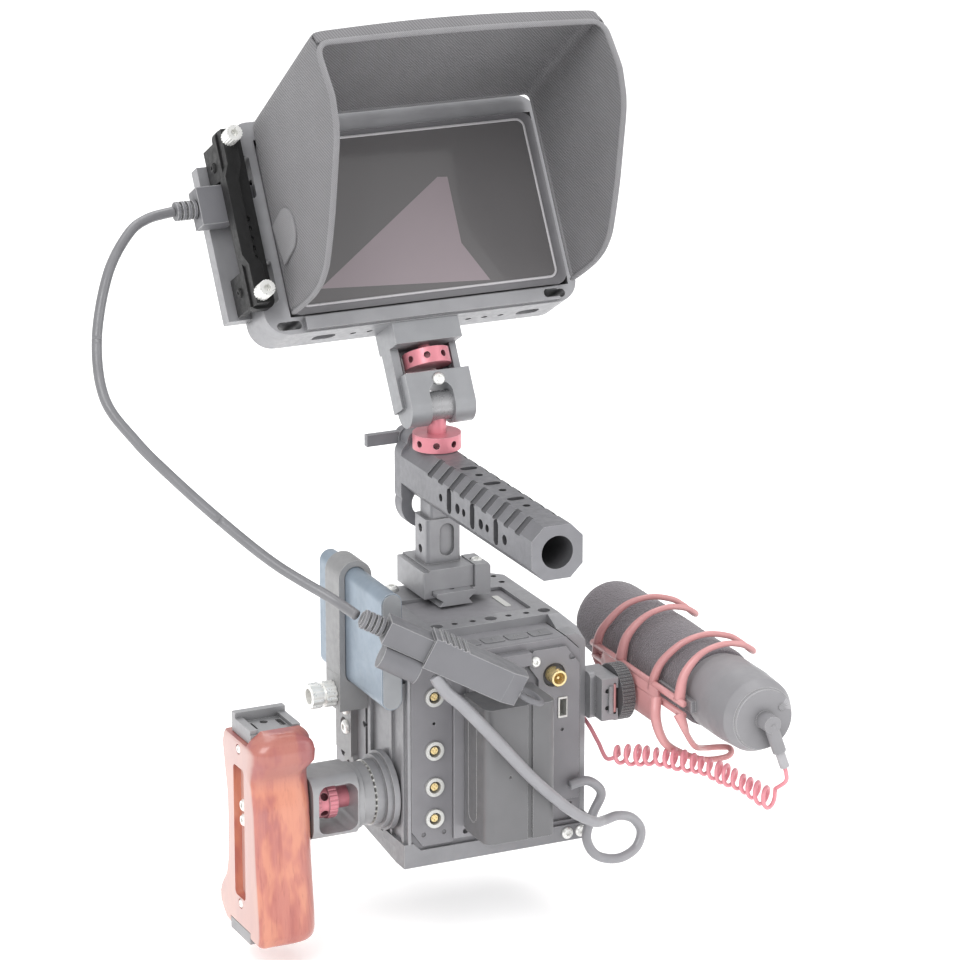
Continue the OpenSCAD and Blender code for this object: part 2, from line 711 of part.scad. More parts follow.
module arm_lock_ring() {
    color("crimson") difference() {
        rod_z([mid_x, tilt_y, ring_z0], ring_r, ring_t);
        rod_z([mid_x, tilt_y, ring_z0 - 1], stud_r + fit_gap, ring_t + 2);
        for (a = [0 : 45 : 315]) translate([mid_x, tilt_y, ring_z0 + ring_t / 2])
            rotate([0, 90, a + 20]) rod_z([0, 0, ring_r - 3], 1.7, 4);
    }
}

module arm_body() {
    color("#525256") on_arm() difference() {
        union() {
            // two cheeks round the barrel that join above it
            rod_x([-arm_w / 2, 0, 0], cheek_r, arm_w);
            box([-arm_w / 2, -cheek_r, 0], [arm_w / 2, cheek_r, 16]);
            // left upright and the shelf for the monitor's shoe
            box([-arm_w / 2 - 2, -2, 0], [-arm_w / 2 + 2.5, cheek_r, shoe_v0 + 0.1]);
            box([arm_w / 2 - 4.5, -2, 8], [arm_w / 2 - 1, cheek_r, shoe_v0 + 0.1]);
            box([-arm_w / 2 - 2, -12, shoe_v0], [arm_w / 2 - 1, 12, mon_v0]);
            box([-arm_w / 2, 6.5, 12], [arm_w / 2 - 1, cheek_r, shoe_v0 + 0.1]);
        }
        // bore of the barrel, and the arch that the stud swings through
        rod_x([-15.6, 0, 0], barrel_r + fit_gap, 31.2);
        plate_xz(-20, 40) union() {
            translate([0, 4]) circle(6.4);
            translate([-6.4, -20]) square([12.8, 24]);
        }
        // seats of the screw and of the upper wheel
        rod_y([0, -cheek_r - 1, 11.5], 3.4, 3);
        rod_z([0, 0, 12], quarter_r - 0.1 + fit_gap, 40);
        rod_z([0, 0, 19.5], ring_r + 0.4, ring_t + 1);
    }
}

module arm_wheel() {
    color("crimson") on_arm() difference() {
        union() {
            rod_z([0, 0, 20], ring_r - 0.4, ring_t);
            rod_z([0, 0, 27.9], quarter_r - 0.1, 20);
        }
        for (a = [0 : 45 : 315]) translate([0, 0, 20 + ring_t / 2]) rotate([0, 90, a + 25])
            rod_z([0, 0, ring_r - 3.4], 1.7, 4);
    }
}

// ---- monitor, hood and cable clamp ----

module monitor_cage() {
    left = mon_x - mon_w / 2 - 14;
    right = mon_x + mon_w / 2 + 5;
    mid = (left + right) / 2;
    w = right - left;
    color("#808085") on_arm() difference() {
        union() {
            // ring of metal round the monitor
            plate_xz(-face_w + 1.5, 26) difference() {
                translate([mid, (mon_v0 + cage_v1) / 2]) round_rect(w, cage_v1 - mon_v0, 12);
                translate([mon_x, mon_v + mon_h / 2]) square([mon_w + 0.8, mon_h + 0.8], center = true);
            }
            // lip under the monitor, and the stand-off for the arm
            box([mon_x - mon_w / 2 + 6, -face_w - 1.5, mon_v0 + 1], [right - 12, -face_w + 2, mon_v - 1.5]);
            // side bar behind the cable's plug
            box([left - 12.5, 3, mon_v0 + 14], [left + 0.5, 11, mon_v0 + 94]);
        }
        // gap for the plug
        box([left - 14, hdmi_y - 6.5, hdmi_v - 10.5], [mon_x - mon_w / 2 + 1, 3, hdmi_v + 10.5]);
        // windows of the left column, the lower corners and the top bar
        for (v = [mon_v0 + 28, mon_v0 + 82]) plate_xz(-20, 50) translate([left + 6.5, v])
            round_rect(6, 22, 2);
        for (x = [left + 12, right - 14]) plate_xz(-20, 50) translate([x, mon_v0 + 4.5])
            round_rect(13, 4.4, 2);
        // row of threads along the underside
        for (x = [-36, -27, 27, 36, 45]) rod_z([x, 0, mon_v0 - 1], 1.65, 11);
        rod_z([0, 0, mon_v0 - 1], quarter_r, 11);
        for (x = [-52, 60]) translate([x, 0, mon_v0 - 1]) linear_extrude(11) round_rect(12, 8, 3);
        for (x = [-45 : 15 : 45]) rod_z([x, 0, mon_v + mon_h], 1.65, 20);
    }
}

module monitor_body() {
    x0 = mon_x - mon_w / 2;
    x1 = mon_x + mon_w / 2;
    color("#5a5a5e") on_arm() {
        difference() {
            plate_xz(-face_w, 31) translate([mon_x, mon_v + mon_h / 2]) round_rect(mon_w, mon_h, 6);
            box([x0 + 12, -face_w - 1, mon_v + 11], [x1 - 12, -face_w + 2.2, mon_v + mon_h - 6]);
            // signal socket in the left end
            box([x0 - 1, hdmi_y - 2.6, hdmi_v - 7.6], [x0 + 9, hdmi_y + 2.6, hdmi_v + 7.6]);
            // battery seat and vents in the back
            box([-20, 12, mon_v + 14], [22, 17, mon_v + 80]);
            for (x = [x0 + 14 : 5 : x0 + 40]) box([x, 14, mon_v + 20], [x + 2, 17, mon_v + 70]);
        }
    }
}

module monitor_screen() {
    color("#3f3a3e") on_arm() box([mon_x - mon_w / 2 + 12.2, -face_w + 0.4, mon_v + 11.2],
        [mon_x + mon_w / 2 - 12.2, -face_w + 2.1, mon_v + mon_h - 6.2]);
}

// Side of the hood: depth in front of the face, height above the monitor's underside
module hood_side() {
    polygon([[2.2, 1], [50, 6], [hood_d, 72], [hood_d, 112], [hood_d - 6, 113],
        [2.2, mon_h + 7]]);
}

module sunhood() {
    w = mon_w / 2 + 0.5;
    color("#68686c") on_arm() translate([mon_x, -face_w, mon_v]) {
        for (x = [-w, w - 1.6]) translate([x, 0, 0]) mirror([0, 1, 0]) plate_yz(0, 1.6) hood_side();
        mirror([0, 1, 0]) plate_yz(-w, 2 * w) polygon([[2.2, mon_h + 5.2], [hood_d - 6, 111],
            [hood_d, 110], [hood_d, 112], [hood_d - 6, 113], [2.2, mon_h + 7]]);
        // frame that grips the monitor's face
        plate_xz(-3.4, 2.8) difference() {
            translate([0, (mon_h + 7) / 2]) square([2 * w, mon_h + 7], center = true);
            translate([0, mon_h / 2 + 3.5]) square([mon_w - 8, mon_h - 1], center = true);
            translate([-w + 0.1, -1]) square([2 * w - 0.2, 9]);
        }
    }
}

module cable_clamp_base() {
    y0 = -face_w - 3.5;
    side = clamp_x - 4.5;
    color("#1c1c1e") on_arm() difference() {
        union() {
            plate_xz(y0, 5) translate([clamp_x + 2, (clamp_v[0] + clamp_v[1]) / 2])
                round_rect(13, clamp_v[1] - clamp_v[0] + 13, 4);
            // cheeks at the two ends, each with a screw
            box([side, y0, clamp_v[0] - 5], [side + 4, 1, clamp_v[0] + 14]);
            box([side, y0, clamp_v[1] - 18], [side + 4, 1, clamp_v[1] + 1]);
            for (v = [clamp_v[0] + 5, clamp_v[1] - 10]) translate([side + 0.1, -9, v])
                rotate([0, -90, 0]) button_screw(2.6, 1.4);
        }
        for (v = clamp_v) rod_y([clamp_x, y0 - 1, v], 1.7, 8);
        // vent between the cable and the lower thumbscrew
        for (i = [0 : 4], j = [0 : 1])
            rod_y([clamp_x - 1 + 4.5 * j, y0 - 1, clamp_v[0] + 17 + i * 5 + 2.5 * j], 1.4, 8);
    }
}

module cable_clamp_bar() {
    y0 = -face_w - 3.7;
    lo = clamp_v[0];
    hi = clamp_v[1];
    color("#1c1c1e") on_arm() difference() {
        // straight ends, the middle set over towards the cable
        plate_xz(y0 - 6.5, 6.5) translate([clamp_x, 0]) polygon([
            [-3.5, lo - 5], [3.5, lo - 5], [3.5, lo + 14], [0.5, lo + 19], [0.5, hi - 21],
            [3.5, hi - 14], [3.5, hi + 5], [-3.5, hi + 5], [-3.5, hi - 13], [-6, hi - 19],
            [-6, lo + 20], [-3.5, lo + 15]]);
        for (v = clamp_v) rod_y([clamp_x, y0 - 8, v], 1.7, 10);
    }
}

module thumbscrew(v) {
    color("silver") on_arm() translate([clamp_x, -face_w - 10.3, v]) rotate([90, 0, 0]) difference() {
        union() {
            fluted_knob(4.15, 9, 18, 0.45);
            translate([0, 0, -8]) cylinder(r = 1.62, h = 8.1);
        }
        translate([0, 0, 5.5]) cylinder(r = 2, h = 5, $fn = 6);
    }
}
module thumbscrew_upper() { thumbscrew(clamp_v[1]); }
module thumbscrew_lower() { thumbscrew(clamp_v[0]); }

module hdmi_plug() {
    x0 = mon_x - mon_w / 2;
    color("#77777b") on_arm() translate([x0, hdmi_y, hdmi_v]) {
        // metal tip, collar, grip and ribbed strain relief
        box([-0.1, -2.2, -7], [7, 2.2, 7]);
        box([-18, -4.6, -8], [0, 4.6, 8]);
        box([-34, -5.6, -9.7], [-17.9, 5.6, 9.7]);
        rod_x([-45, 0, 0], 3.4, 12);
        for (i = [0 : 3]) rod_x([-45 + i * 2.9, 0, 0], 4.8, 1.7);
    }
}

// ---- side grip ----

// Ring of radial teeth on a face, along +X
module tooth_ring(x, r, t, teeth) {
    for (i = [0 : teeth - 1]) translate([x, rosette_y, rosette_z]) rotate([i * 360 / teeth, 0, 0])
        box([0, -0.5, r - 5.2], [t, 0.5, r - 0.4]);
}

module rosette() {
    color("#5e5e62") {
        difference() {
            union() {
                rod_x([-hw - 3, rosette_y, rosette_z], 20, 3);
                rod_x([-hw - 6, rosette_y, rosette_z], 18.5, 3.2);
                rod_x([ring_x + 0.8, rosette_y, rosette_z], 16.5, -hw - 5.9 - ring_x - 0.8);
            }
            rod_x([ring_x - 1, rosette_y, rosette_z], 3.175, -hw - ring_x + 2);
            rod_x([ring_x - 1, rosette_y, rosette_z], 9, 3.4);
        }
        tooth_ring(ring_x, 15.9, 0.9, 30);
    }
}

module grip_arm() {
    color("#3e3e42") difference() {
        union() {
            // round at the rosette, square at the grip
            rod_x([ring_x - 6, rosette_y, rosette_z], 15.9, 5.8);
            plate_yz(ring_x - 9, 3.2) translate([rosette_y, rosette_z]) round_rect(31.4, 31.4, 12);
            plate_yz(grip_x1 + 0.2, ring_x - 8.9 - grip_x1 - 0.2) translate([rosette_y, rosette_z])
                round_rect(32, 32, 8);
        }
        // window that shows the lock wheel, open to the front and the rear
        window = [grip_x1 + 3.2, ring_x - 9.6];
        plate_xz(rosette_y - 20, 40) translate([(window[0] + window[1]) / 2, rosette_z])
            round_rect(window[1] - window[0], 25, 5);
        rod_x([ring_x - 11, rosette_y, rosette_z], 4.1 + fit_gap, 12);
        // threads for the grip's two screws
        for (s = [-1, 1]) rod_x([grip_x1 - 1, rosette_y, rosette_z + s * grip_screw_z], 1.9, 6);
    }
}

module lock_wheel() {
    color("crimson") translate([wheel_x, rosette_y, rosette_z]) difference() {
        union() {
            // two flanges with a drum between them, then the stem and its thread
            rod_x([0, 0, 0], 9.6, 3);
            rod_x([2.9, 0, 0], 8.9, 5);
            rod_x([7.8, 0, 0], 9.6, 4.4);
            rod_x([12.1, 0, 0], 5.4, 7.7);
            rod_x([19.7, 0, 0], 4.1, 9.1);
            rod_x([28.7, 0, 0], 3.1, 9);
        }
        for (a = [0 : 60 : 300]) translate([5.4, 0, 0]) rotate([a, 0, 0]) rod_z([0, 0, 5], 2, 6);
        for (a = [0 : 15 : 345]) rotate([a, 0, 0]) rod_x([-0.5, 0, 9.9], 0.6, 13);
    }
}

// Side outline of the wooden grip: y across, z up. The thumb rest bulges at the top of the rear
// edge, the heel at the foot of the front edge.
module grip_outline() {
    polygon([[-12, grip_z1 + 2.6], [-17, grip_z1 + 2.6], [-20.5, grip_z1 - 1], [-21.5, grip_z1 - 8],
        [-20, grip_z1 - 15], [-16.5, grip_z1 - 20], [-19.5, grip_z1 - 36], [-20.5, grip_z1 - 56],
        [-22.5, grip_z0 + 31], [-24.5, grip_z0 + 15], [-24.5, grip_z0 + 6], [-20, grip_z0],
        [14, grip_z0], [21, grip_z0 + 4], [27.5, grip_z0 + 9], [28, grip_z0 + 15],
        [26, grip_z0 + 20], [19.5, grip_z0 + 27], [16.7, grip_z0 + 37], [16.8, grip_z1 - 36],
        [20, grip_z1 - 22], [22.2, grip_z1 - 11], [19, grip_z1 - 3], [13, grip_z1],
        [-9, grip_z1]]);
}

module wooden_grip() {
    color("#c07a50") difference() {
        translate([0, grip_y, 0]) intersection() {
            plate_yz(grip_x0, grip_t) grip_outline();
            // the four long edges are rounded, more so towards the camera
            plate_xy(grip_z0 - 1, grip_h + 5) translate([grip_x0, 1.7]) {
                translate([grip_t / 2, 0]) round_rect(grip_t, 53, 11);
                translate([9, 0]) round_rect(18, 53, 4);
            }
        }
        // slot that the grip slides along, with a groove on the outer face for the screw heads
        plate_yz(grip_x0 - 1, grip_t + 2) translate([rosette_y, grip_slot_z]) slot_2d(5.6, 62);
        plate_yz(grip_x0 - 1, groove_depth + 1) translate([rosette_y, grip_slot_z])
            round_rect(13, 68, 2);
        // seats of the shoe, the foot and the two end screws
        box([grip_x0 - 1, grip_y - 9.2, grip_z1 - 4.2], [grip_x1 + 1, grip_y + 30, grip_z1 + 3]);
        box([grip_x0 - 1, grip_y - 12.2, grip_z0 - 1], [grip_x0 + 9.2, grip_y + 13.2, grip_z0 + 6.2]);
        for (z = [grip_slot_z + 43.5, grip_slot_z - 37.5])
            rod_x([grip_x0 - 1, rosette_y, z], 2.4, 3.4);
    }
}

module grip_fittings() {
    shoe_x = (grip_x0 + grip_x1) / 2;
    color("#56565a") {
        // accessory shoe on the top
        translate([shoe_x, grip_y, grip_z1]) difference() {
            half = grip_t / 2 - 3;
            union() {
                box([-half, -9, -4], [half, 15, 1]);
                for (s = [-1, 1]) translate([s * (half - 2), 0, 0]) box([-2, -8, 0.9], [2, 13, 3.2]);
                box([-half, 11, 0.9], [half, 15, 6]);
            }
            rod_z([0, 6.5, -5], 2.1, 7);
            for (x = [-7.5, 7.5]) translate([x, 3, -1]) linear_extrude(3) round_rect(3, 9, 0.8);
        }
        // foot plate at the bottom
        box([grip_x0, grip_y - 12, grip_z0 + 0.2], [grip_x0 + 9, grip_y + 13, grip_z0 + 6]);
    }
}

module grip_screws() {
    color("silver") {
        // two long ones hold the grip on its arm from the floor of the groove
        for (s = [-1, 1])
            translate([grip_x0 + groove_depth - 0.1, rosette_y, rosette_z + s * grip_screw_z])
                rotate([0, -90, 0]) button_screw(3.3, 2.6, 31.6);
    }
}

// ---- drive and its clamp ----

module drive_case() {
    color("#5b8aa6") plate_xz(drive_y0, drive_len) translate([drive_x, drive_z0 + drive_h / 2])
        slot_2d(drive_t, drive_h);
    color("#77777b") for (y = [drive_y0 - 0.6, drive_y0 + drive_len - 0.05])
        plate_xz(y, 0.65) translate([drive_x, drive_z0 + drive_h / 2])
            slot_2d(drive_t - 1.2, drive_h - 1.2);
}

module drive_clamp() {
    inner = drive_t + 0.6;
    outer = drive_t + 6.8;
    color("#7c7c80") difference() {
        union() {
            // band over the drive, closed below by the foot
            plate_xz(band_y, band_w) translate([drive_x, drive_z0 + drive_h / 2]) difference() {
                slot_2d(outer, drive_h + 6.8);
                slot_2d(inner, drive_h + 0.6);
                translate([-20, -60]) square([40, 20]);
            }
            box([drive_x - outer / 2, band_y, 70], [-hw - 0.05, band_y + band_w, drive_z0 + 4]);
            // bracket down the cage's side, with an oval boss at its foot
            box([-hw - 3.6, band_y + 13, 40], [-hw - 0.05, band_y + 32, 82]);
            plate_yz(-hw - 3, 2.95) translate([band_y + 17, 30]) slot_2d(12, 24);
        }
        plate_xz(band_y - 1, band_w + 2) translate([drive_x, drive_z0 + drive_h / 2])
            slot_2d(inner, drive_h + 0.6);
        // the band's inner side stops above the cage
        box([-hw - 0.05, band_y - 1, 60], [-hw + 10, band_y + band_w + 1, top_z1 + 0.3]);
        rod_x([drive_x - outer / 2 - 1, band_y + band_w / 2, knob_z], 2.2, 12);
        for (z = [54, 65.5]) rod_x([-hw - 5, 29.5, z], 4.5, 6);
        plate_yz(-hw - 4, 2) translate([band_y + 17, 30]) slot_2d(6.4, 14);
    }
}

module drive_knob() {
    color("silver") translate([drive_x - drive_t / 2 - 3.6, band_y + band_w / 2, knob_z])
        rotate([0, -90, 0]) {
            difference() {
                union() {
                    fluted_knob(6.6, 5.5, 12, 1.1);
                    translate([0, 0, 5.4]) cylinder(r = 5, h = 2.2);
                    translate([0, 0, 7.5]) fluted_knob(6.6, 5.5, 12, 1.1);
                }
                translate([0, 0, 7]) cylinder(r = 4, h = 7);
            }
            translate([0, 0, -9]) cylinder(r = 2.15, h = 9.1);
        }
}

// ---- microphone ----

module mic_shoe() {
    color("#4a4a4e") {
        plate_yz(hw, 3) translate([-22, 75]) round_rect(30, 24, 3);
        difference() {
            box([hw + 2.9, -44, 64], [hw + 12, -22, 86]);
            // channel for the microphone's foot
            box([hw + 9.4, -60, 66.8], [hw + 10.9, -24, 83.2]);
            box([hw + 10.8, -60, 69.5], [hw + 13, -24, 80.5]);
            for (z = [70.5, 79.5]) rod_y([hw + 6, -45, z], 1.2, 3);
        }
        translate([hw + 7.4, -45.2, 75]) box([-0.9, 0, -7], [0.9, 1.4, 7]);
    }
}

module mic_wheel() {
    color("#3c3c40") difference() {
        translate([hw + 12.6, mic_wheel_y, mic_wheel_z]) rotate([0, 90, 0])
            fluted_knob(14.4, 7, 48, 0.6);
        rod_x([hw + 12, mic_wheel_y, mic_wheel_z], mic_stem_r + fit_gap, 9);
    }
}

// Arc of the suspension about the microphone's axis, from one angle to another
module lyre_arc(y, from, to) {
    translate([mic_x, y, mic_z]) rotate([90, -from, 0]) rotate_extrude(angle = to - from)
        translate([hoop_r, 0]) square([3.4, 2.7], center = true);
}

module mic_suspension() {
    color("lightcoral") {
        // foot with its threaded stem, held in the shoe
        box([hw + 9.6, -44, 67.2], [hw + 10.8, -25, 82.8]);
        rod_x([hw + 10.7, mic_wheel_y, mic_wheel_z], mic_stem_r, 12);
        difference() {
            box([hw + 20.5, -58, 62], [hw + 24, 4, 88]);
            for (y = [-46, -14]) plate_yz(hw + 20, 5) translate([y, 75]) round_rect(16, 12, 3);
        }
        box([hw + 20.5, -66, 79], [hw + 27.5, 10, 86]);
        // two loops over the microphone and two under it
        for (y = [-60, -6], turn = [[62, 182], [180, 292]]) {
            for (dy = [0, 12]) lyre_arc(y + dy, turn[0], turn[1]);
            translate([mic_x, y, mic_z]) rotate([0, turn[0] < 90 ? -62 : -292, 0])
                box([hoop_r - 1.7, -1.35, -1.7], [hoop_r + 1.7, 13.35, 1.7]);
        }
    }
}

module mic_windshield() {
    front = mic_y[1];
    color("#4c4c50") translate([mic_x, 0, mic_z]) rotate([-90, 0, 0]) rotate_extrude() difference() {
        union() {
            translate([0, -78]) square([foam_r, front + 78 - 9]);
            translate([0, front - 9.1]) square([foam_r - 9, 9.1]);
            translate([foam_r - 9, front - 9]) intersection() {
                circle(9);
                square(9);
            }
        }
        translate([-1, -79]) square([11.5, front + 79 - 12]);
    }
}

module mic_body() {
    rear = mic_y[0];
    color("#5c5c60") {
        // capsule tube inside the foam, then the housing behind it
        translate([mic_x, 0, mic_z]) rotate([-90, 0, 0]) rotate_extrude()
            polygon([[0, rear + 1.5], [16, rear + 1.5], [18.6, rear + 7], [19.6, -104], [19.6, -84],
                [18.4, -78.2],
                [10.2, -78.1], [10.2, mic_y[1] - 14], [0, mic_y[1] - 14]]);
        rod_y([mic_x, rear, mic_z], 15.2, 1.6);
        // spine towards the suspension
        box([mic_x - 22, -92, mic_z - 5], [mic_x - 15, -79, mic_z + 1]);
        box([mic_x - 22, -92, mic_z - 5], [mic_x - 20.7, -58, mic_z + 1]);
        // right-angle plug and its sleeve
        rod_y([mic_x, rear - 9, mic_z], 4.4, 9.2);
        translate([mic_x, rear - 6, mic_z]) rotate([0, 160, 0]) {
            cylinder(r = 3.4, h = 16);
            cylinder(r = 2.4, h = 25);
        }
    }
    color("gold") rod_y([mic_x + 9.5, rear - 0.5, mic_z + 5], 1.6, 0.8);
}

// ---- cables ----

// Centre line of the coiled cable: a helix that sags between its two ends
coil_turns = 18;
coil_r = 4.3;
coil_start = [104, -127, 43.5];
coil_end = [55, -56, 50.5];
function coil_axis(t) = coil_start + t * (coil_end - coil_start) + sin(180 * t) * [6, 4, 4];
function coil_point(t) = coil_axis(t)
    + coil_r * [cos(360 * coil_turns * t) * 0.8, cos(360 * coil_turns * t) * 0.55,
        -sin(360 * coil_turns * t)];

module mic_cable() {
    steps = coil_turns * 9;
    lead_in = spline([[mic_x + 8.7, mic_y[0] - 6, mic_z - 24], [mic_x + 9.6, mic_y[0] - 6, mic_z - 31],
        coil_point(0) + [0.3, 0, 4.5]], 3);
    lead_out = spline([coil_point(1) + [0.2, 0, -2.5], [54, -49, 46], [54.5, -38, 51],
        [54, -28, 57], [53.4, -19, jack_z], [53.4, -15, jack_z]], 3);
    wire = concat(lead_in, [for (i = [0 : steps]) coil_point(i / steps)], lead_out);
    // angled jack in the camera's side: sleeve, elbow and pin
    jack = [[53.4, -14.8, jack_z], [53.4, jack_y, jack_z], [hc + 0.3, jack_y, jack_z],
        [hc + 0.1, jack_y, jack_z], [hc - 8, jack_y, jack_z]];
    color("palevioletred")
        swept_tube(concat(wire, jack), concat([for (p = wire) 1], [1.9, 2.7, 1.9, 1.75, 1.75]), 6);
}

module hdmi_cable() {
    x0 = mon_x + mid_x - mon_w / 2 - 45;
    path = spline([[x0 - 1, 97, 310], [x0 - 16, 94, 308.5], [x0 - 28, 89, 303],
        [x0 - 43, 78, 287], [x0 - 54.5, 64, 259], [x0 - 57, 48, 234], [x0 - 47, 34, 215.5],
        [x0 - 34, 22, 199.5], [x0 - 16, 4, 180], [x0 + 4, -16, 161], [x0 + 24, -38, 147.5],
        [x0 + 31, -52, 142.3]], 4);
    color("#4e4e52") swept_tube(path, 2.6, 8);
}

// Converter at the lower end of the signal cable, its own +X running down its length
module signal_converter() {
    color("#66666a") translate([-80, -53, 141]) rotate([0, 27, -18]) {
        // ribbed strain relief, bevelled plug and the block with its ribbed back
        rod_x([0, 0, 0], 3.4, 14);
        for (i = [0 : 3]) rod_x([1 + i * 2.9, 0, 0], 4.8, 1.8);
        box([13, -7, -6], [38, 7, 6]);
        plate_xy(-8, 16) polygon([[36, -9], [78, -9], [86, -5], [86, 5], [78, 9], [36, 9]]);
        for (i = [0 : 4]) box([39 + i * 3.2, -9, 7.9], [40.6 + i * 3.2, 9, 8.7]);
        // power plug under the block, and the tether's loop at the end
        rod_x([16, -4, -12], 6.2, 20);
        box([20, -6, -8], [34, 2, -5]);
        translate([92, 0, -2]) rotate_extrude() translate([6.6, 0]) circle(1.4);
    }
}

module power_cable() {
    path = spline([[-48.5, -69, 112], [-44, -71.5, 104], [-35, -73, 95], [-16, -73, 73],
        [4, -71.5, 50], [25, -68, 30], [41, -61, 19], [50, -54, 15.5], [60, -50, 15],
        [70, -46, 10.5], [75, -46, 3], [71, -48, -5], [60, -50, -8], [49, -48, -5], [45, -45, 4],
        [50, -42, 15], [55, -41, 25], [48, -40, 32], [38, -39.5, 31]], 4);
    color("#67676b") swept_tube(path, 2.3, 8);
}

base_plate();
cage_top();
cage_left();
cage_right();
camera_shell();
rear_cover();
lens_mount();
lens_lock_ring();
touch_screen();
port_module();
connector_sockets();
battery_plate();
battery_pack();
battery_latch();
menu_button_1();
menu_button_2();
menu_button_3();
menu_button_4();
circuit_boards();
heat_sink();
cooling_fan();
cage_screws();
nato_rail();
handle_clamp();
clamp_jaw();
jaw_screw();
top_handle();
rod_clamp();
rod_lever();
arm_stud();
arm_lock_ring();
arm_body();
arm_wheel();
monitor_cage();
monitor_body();
monitor_screen();
sunhood();
cable_clamp_base();
cable_clamp_bar();
thumbscrew_upper();
thumbscrew_lower();
hdmi_plug();
rosette();
grip_arm();
lock_wheel();
wooden_grip();
grip_fittings();
grip_screws();
drive_clamp();
drive_knob();
drive_case();
mic_shoe();
mic_wheel();
mic_suspension();
mic_windshield();
mic_body();
mic_cable();
hdmi_cable();
signal_converter();
power_cable();
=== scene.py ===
"""Looks for the cinema camera rig: fabric, wood, foam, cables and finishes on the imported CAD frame.

Every length is in millimetres unless a comment says metres; MM turns it into Blender's metres.
"""

import math

import bmesh
import bpy
import numpy as np
from mathutils import Matrix, Vector, noise


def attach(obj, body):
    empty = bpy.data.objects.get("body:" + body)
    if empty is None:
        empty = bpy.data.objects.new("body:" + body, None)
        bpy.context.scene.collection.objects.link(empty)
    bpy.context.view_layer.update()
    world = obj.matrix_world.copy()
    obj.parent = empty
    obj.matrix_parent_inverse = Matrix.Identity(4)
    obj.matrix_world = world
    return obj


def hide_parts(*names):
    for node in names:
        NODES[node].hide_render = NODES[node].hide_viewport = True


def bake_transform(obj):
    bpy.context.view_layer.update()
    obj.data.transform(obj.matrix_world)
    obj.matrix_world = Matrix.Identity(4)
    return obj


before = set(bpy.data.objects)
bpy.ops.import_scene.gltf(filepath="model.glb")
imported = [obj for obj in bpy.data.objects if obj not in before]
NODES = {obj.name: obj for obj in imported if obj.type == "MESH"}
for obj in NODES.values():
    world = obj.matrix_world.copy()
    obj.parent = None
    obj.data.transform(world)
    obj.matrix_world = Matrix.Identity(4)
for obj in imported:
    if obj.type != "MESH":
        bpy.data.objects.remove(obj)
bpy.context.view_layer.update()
MM = 0.001

# ---- the frame's own measures, in millimetres ----
LEAN = math.radians(30)                       # the monitor leans away from the operator
ARM_PIVOT = Vector((4, 44, 210))              # the monitor's tilt axis
ARM_UP = Vector((0, math.sin(LEAN), math.cos(LEAN)))
ARM_IN = Vector((0, math.cos(LEAN), -math.sin(LEAN)))
MONITOR_X = 3.5                               # monitor's offset from the arm
MONITOR_FACE = -15                            # plane of the monitor's face
MONITOR_FOOT = 51                             # underside of the monitor above the tilt axis
GRIP_X = (-128, -95.5)                        # outer and inner faces of the wooden grip
GRIP_Y = -12                                  # middle of the grip
GRIP_FOOT = -31                               # underside of the grip
GRIP_TOP = 78.6                               # crown of the thumb rest
GRIP_SLOT_Z = 24                              # middle of the grip's slot
GRIP_SCREWS_Z = (("upper", 67.5), ("lower", -13.5))
HANDLE_AXIS_Z = 174.5                         # middle of the handle's tube
MIC_AXIS = Vector((100, 0, 85.5))
MIC_FRONT = 47                                # front end of the windshield
MIC_RIM_Y = -124                              # the microphone's rear rim starts behind this
FOAM_RADIUS = 20.5
ROSETTE_FACE_X = -60.9
DRIVE_CASE_Y = (-36.2, 40.2)                  # the drive's grey ends lie outside these


# ---- small helpers ----

def arm(x, y, z):
    """Point of the monitor arm's own frame, in metres in the row frame."""
    return (ARM_PIVOT + Vector((x, 0, 0)) + ARM_IN * y + ARM_UP * z) * MM


def hood_point(x, depth, height):
    """Point of the hood: across, in front of the face and above the monitor's underside."""
    return arm(MONITOR_X + x, MONITOR_FACE - depth, MONITOR_FOOT + height)


def tone(red, green, blue):
    """Linear colour of an sRGB colour given from 0 to 255."""
    return tuple(((c / 255 + 0.055) / 1.055) ** 2.4 for c in (red, green, blue)) + (1.0,)


def smooth(value):
    value = min(max(value, 0), 1)
    return value * value * (3 - 2 * value)


def along(points, t):
    """Point at share t of a polyline's points, evenly by index."""
    position = t * (len(points) - 1)
    i = min(int(position), len(points) - 2)
    return Vector(points[i]).lerp(Vector(points[i + 1]), position - i)


def spline(points, steps):
    """Catmull-Rom curve through the points."""
    points = [Vector(p) for p in points]
    out = []
    for i in range(len(points) - 1):
        a, b = points[max(i - 1, 0)], points[i]
        c, d = points[i + 1], points[min(i + 2, len(points) - 1)]
        for s in range(steps):
            t = s / steps
            out.append(0.5 * (2 * b + (c - a) * t + (2 * a - 5 * b + 4 * c - d) * t * t
                              + (3 * b - a - 3 * c + d) * t ** 3))
    return out + [points[-1]]


def piece(name, vertices, faces, material, body=None, flat=False):
    """A mesh object from plain lists, smooth shaded, that rides on a body."""
    mesh = bpy.data.meshes.new(name)
    mesh.from_pydata([tuple(v) for v in vertices], [], faces)
    mesh.validate()
    edit = bmesh.new()
    edit.from_mesh(mesh)
    bmesh.ops.recalc_face_normals(edit, faces=edit.faces)
    edit.to_mesh(mesh)
    edit.free()
    for polygon in mesh.polygons:
        polygon.use_smooth = not flat
    obj = bpy.data.objects.new(name, mesh)
    bpy.context.scene.collection.objects.link(obj)
    mesh.materials.append(material)
    if body:
        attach(obj, body)
    return obj


def modify(obj, kind, **settings):
    modifier = obj.modifiers.new(kind.lower(), kind)
    for key, value in settings.items():
        setattr(modifier, key, value)


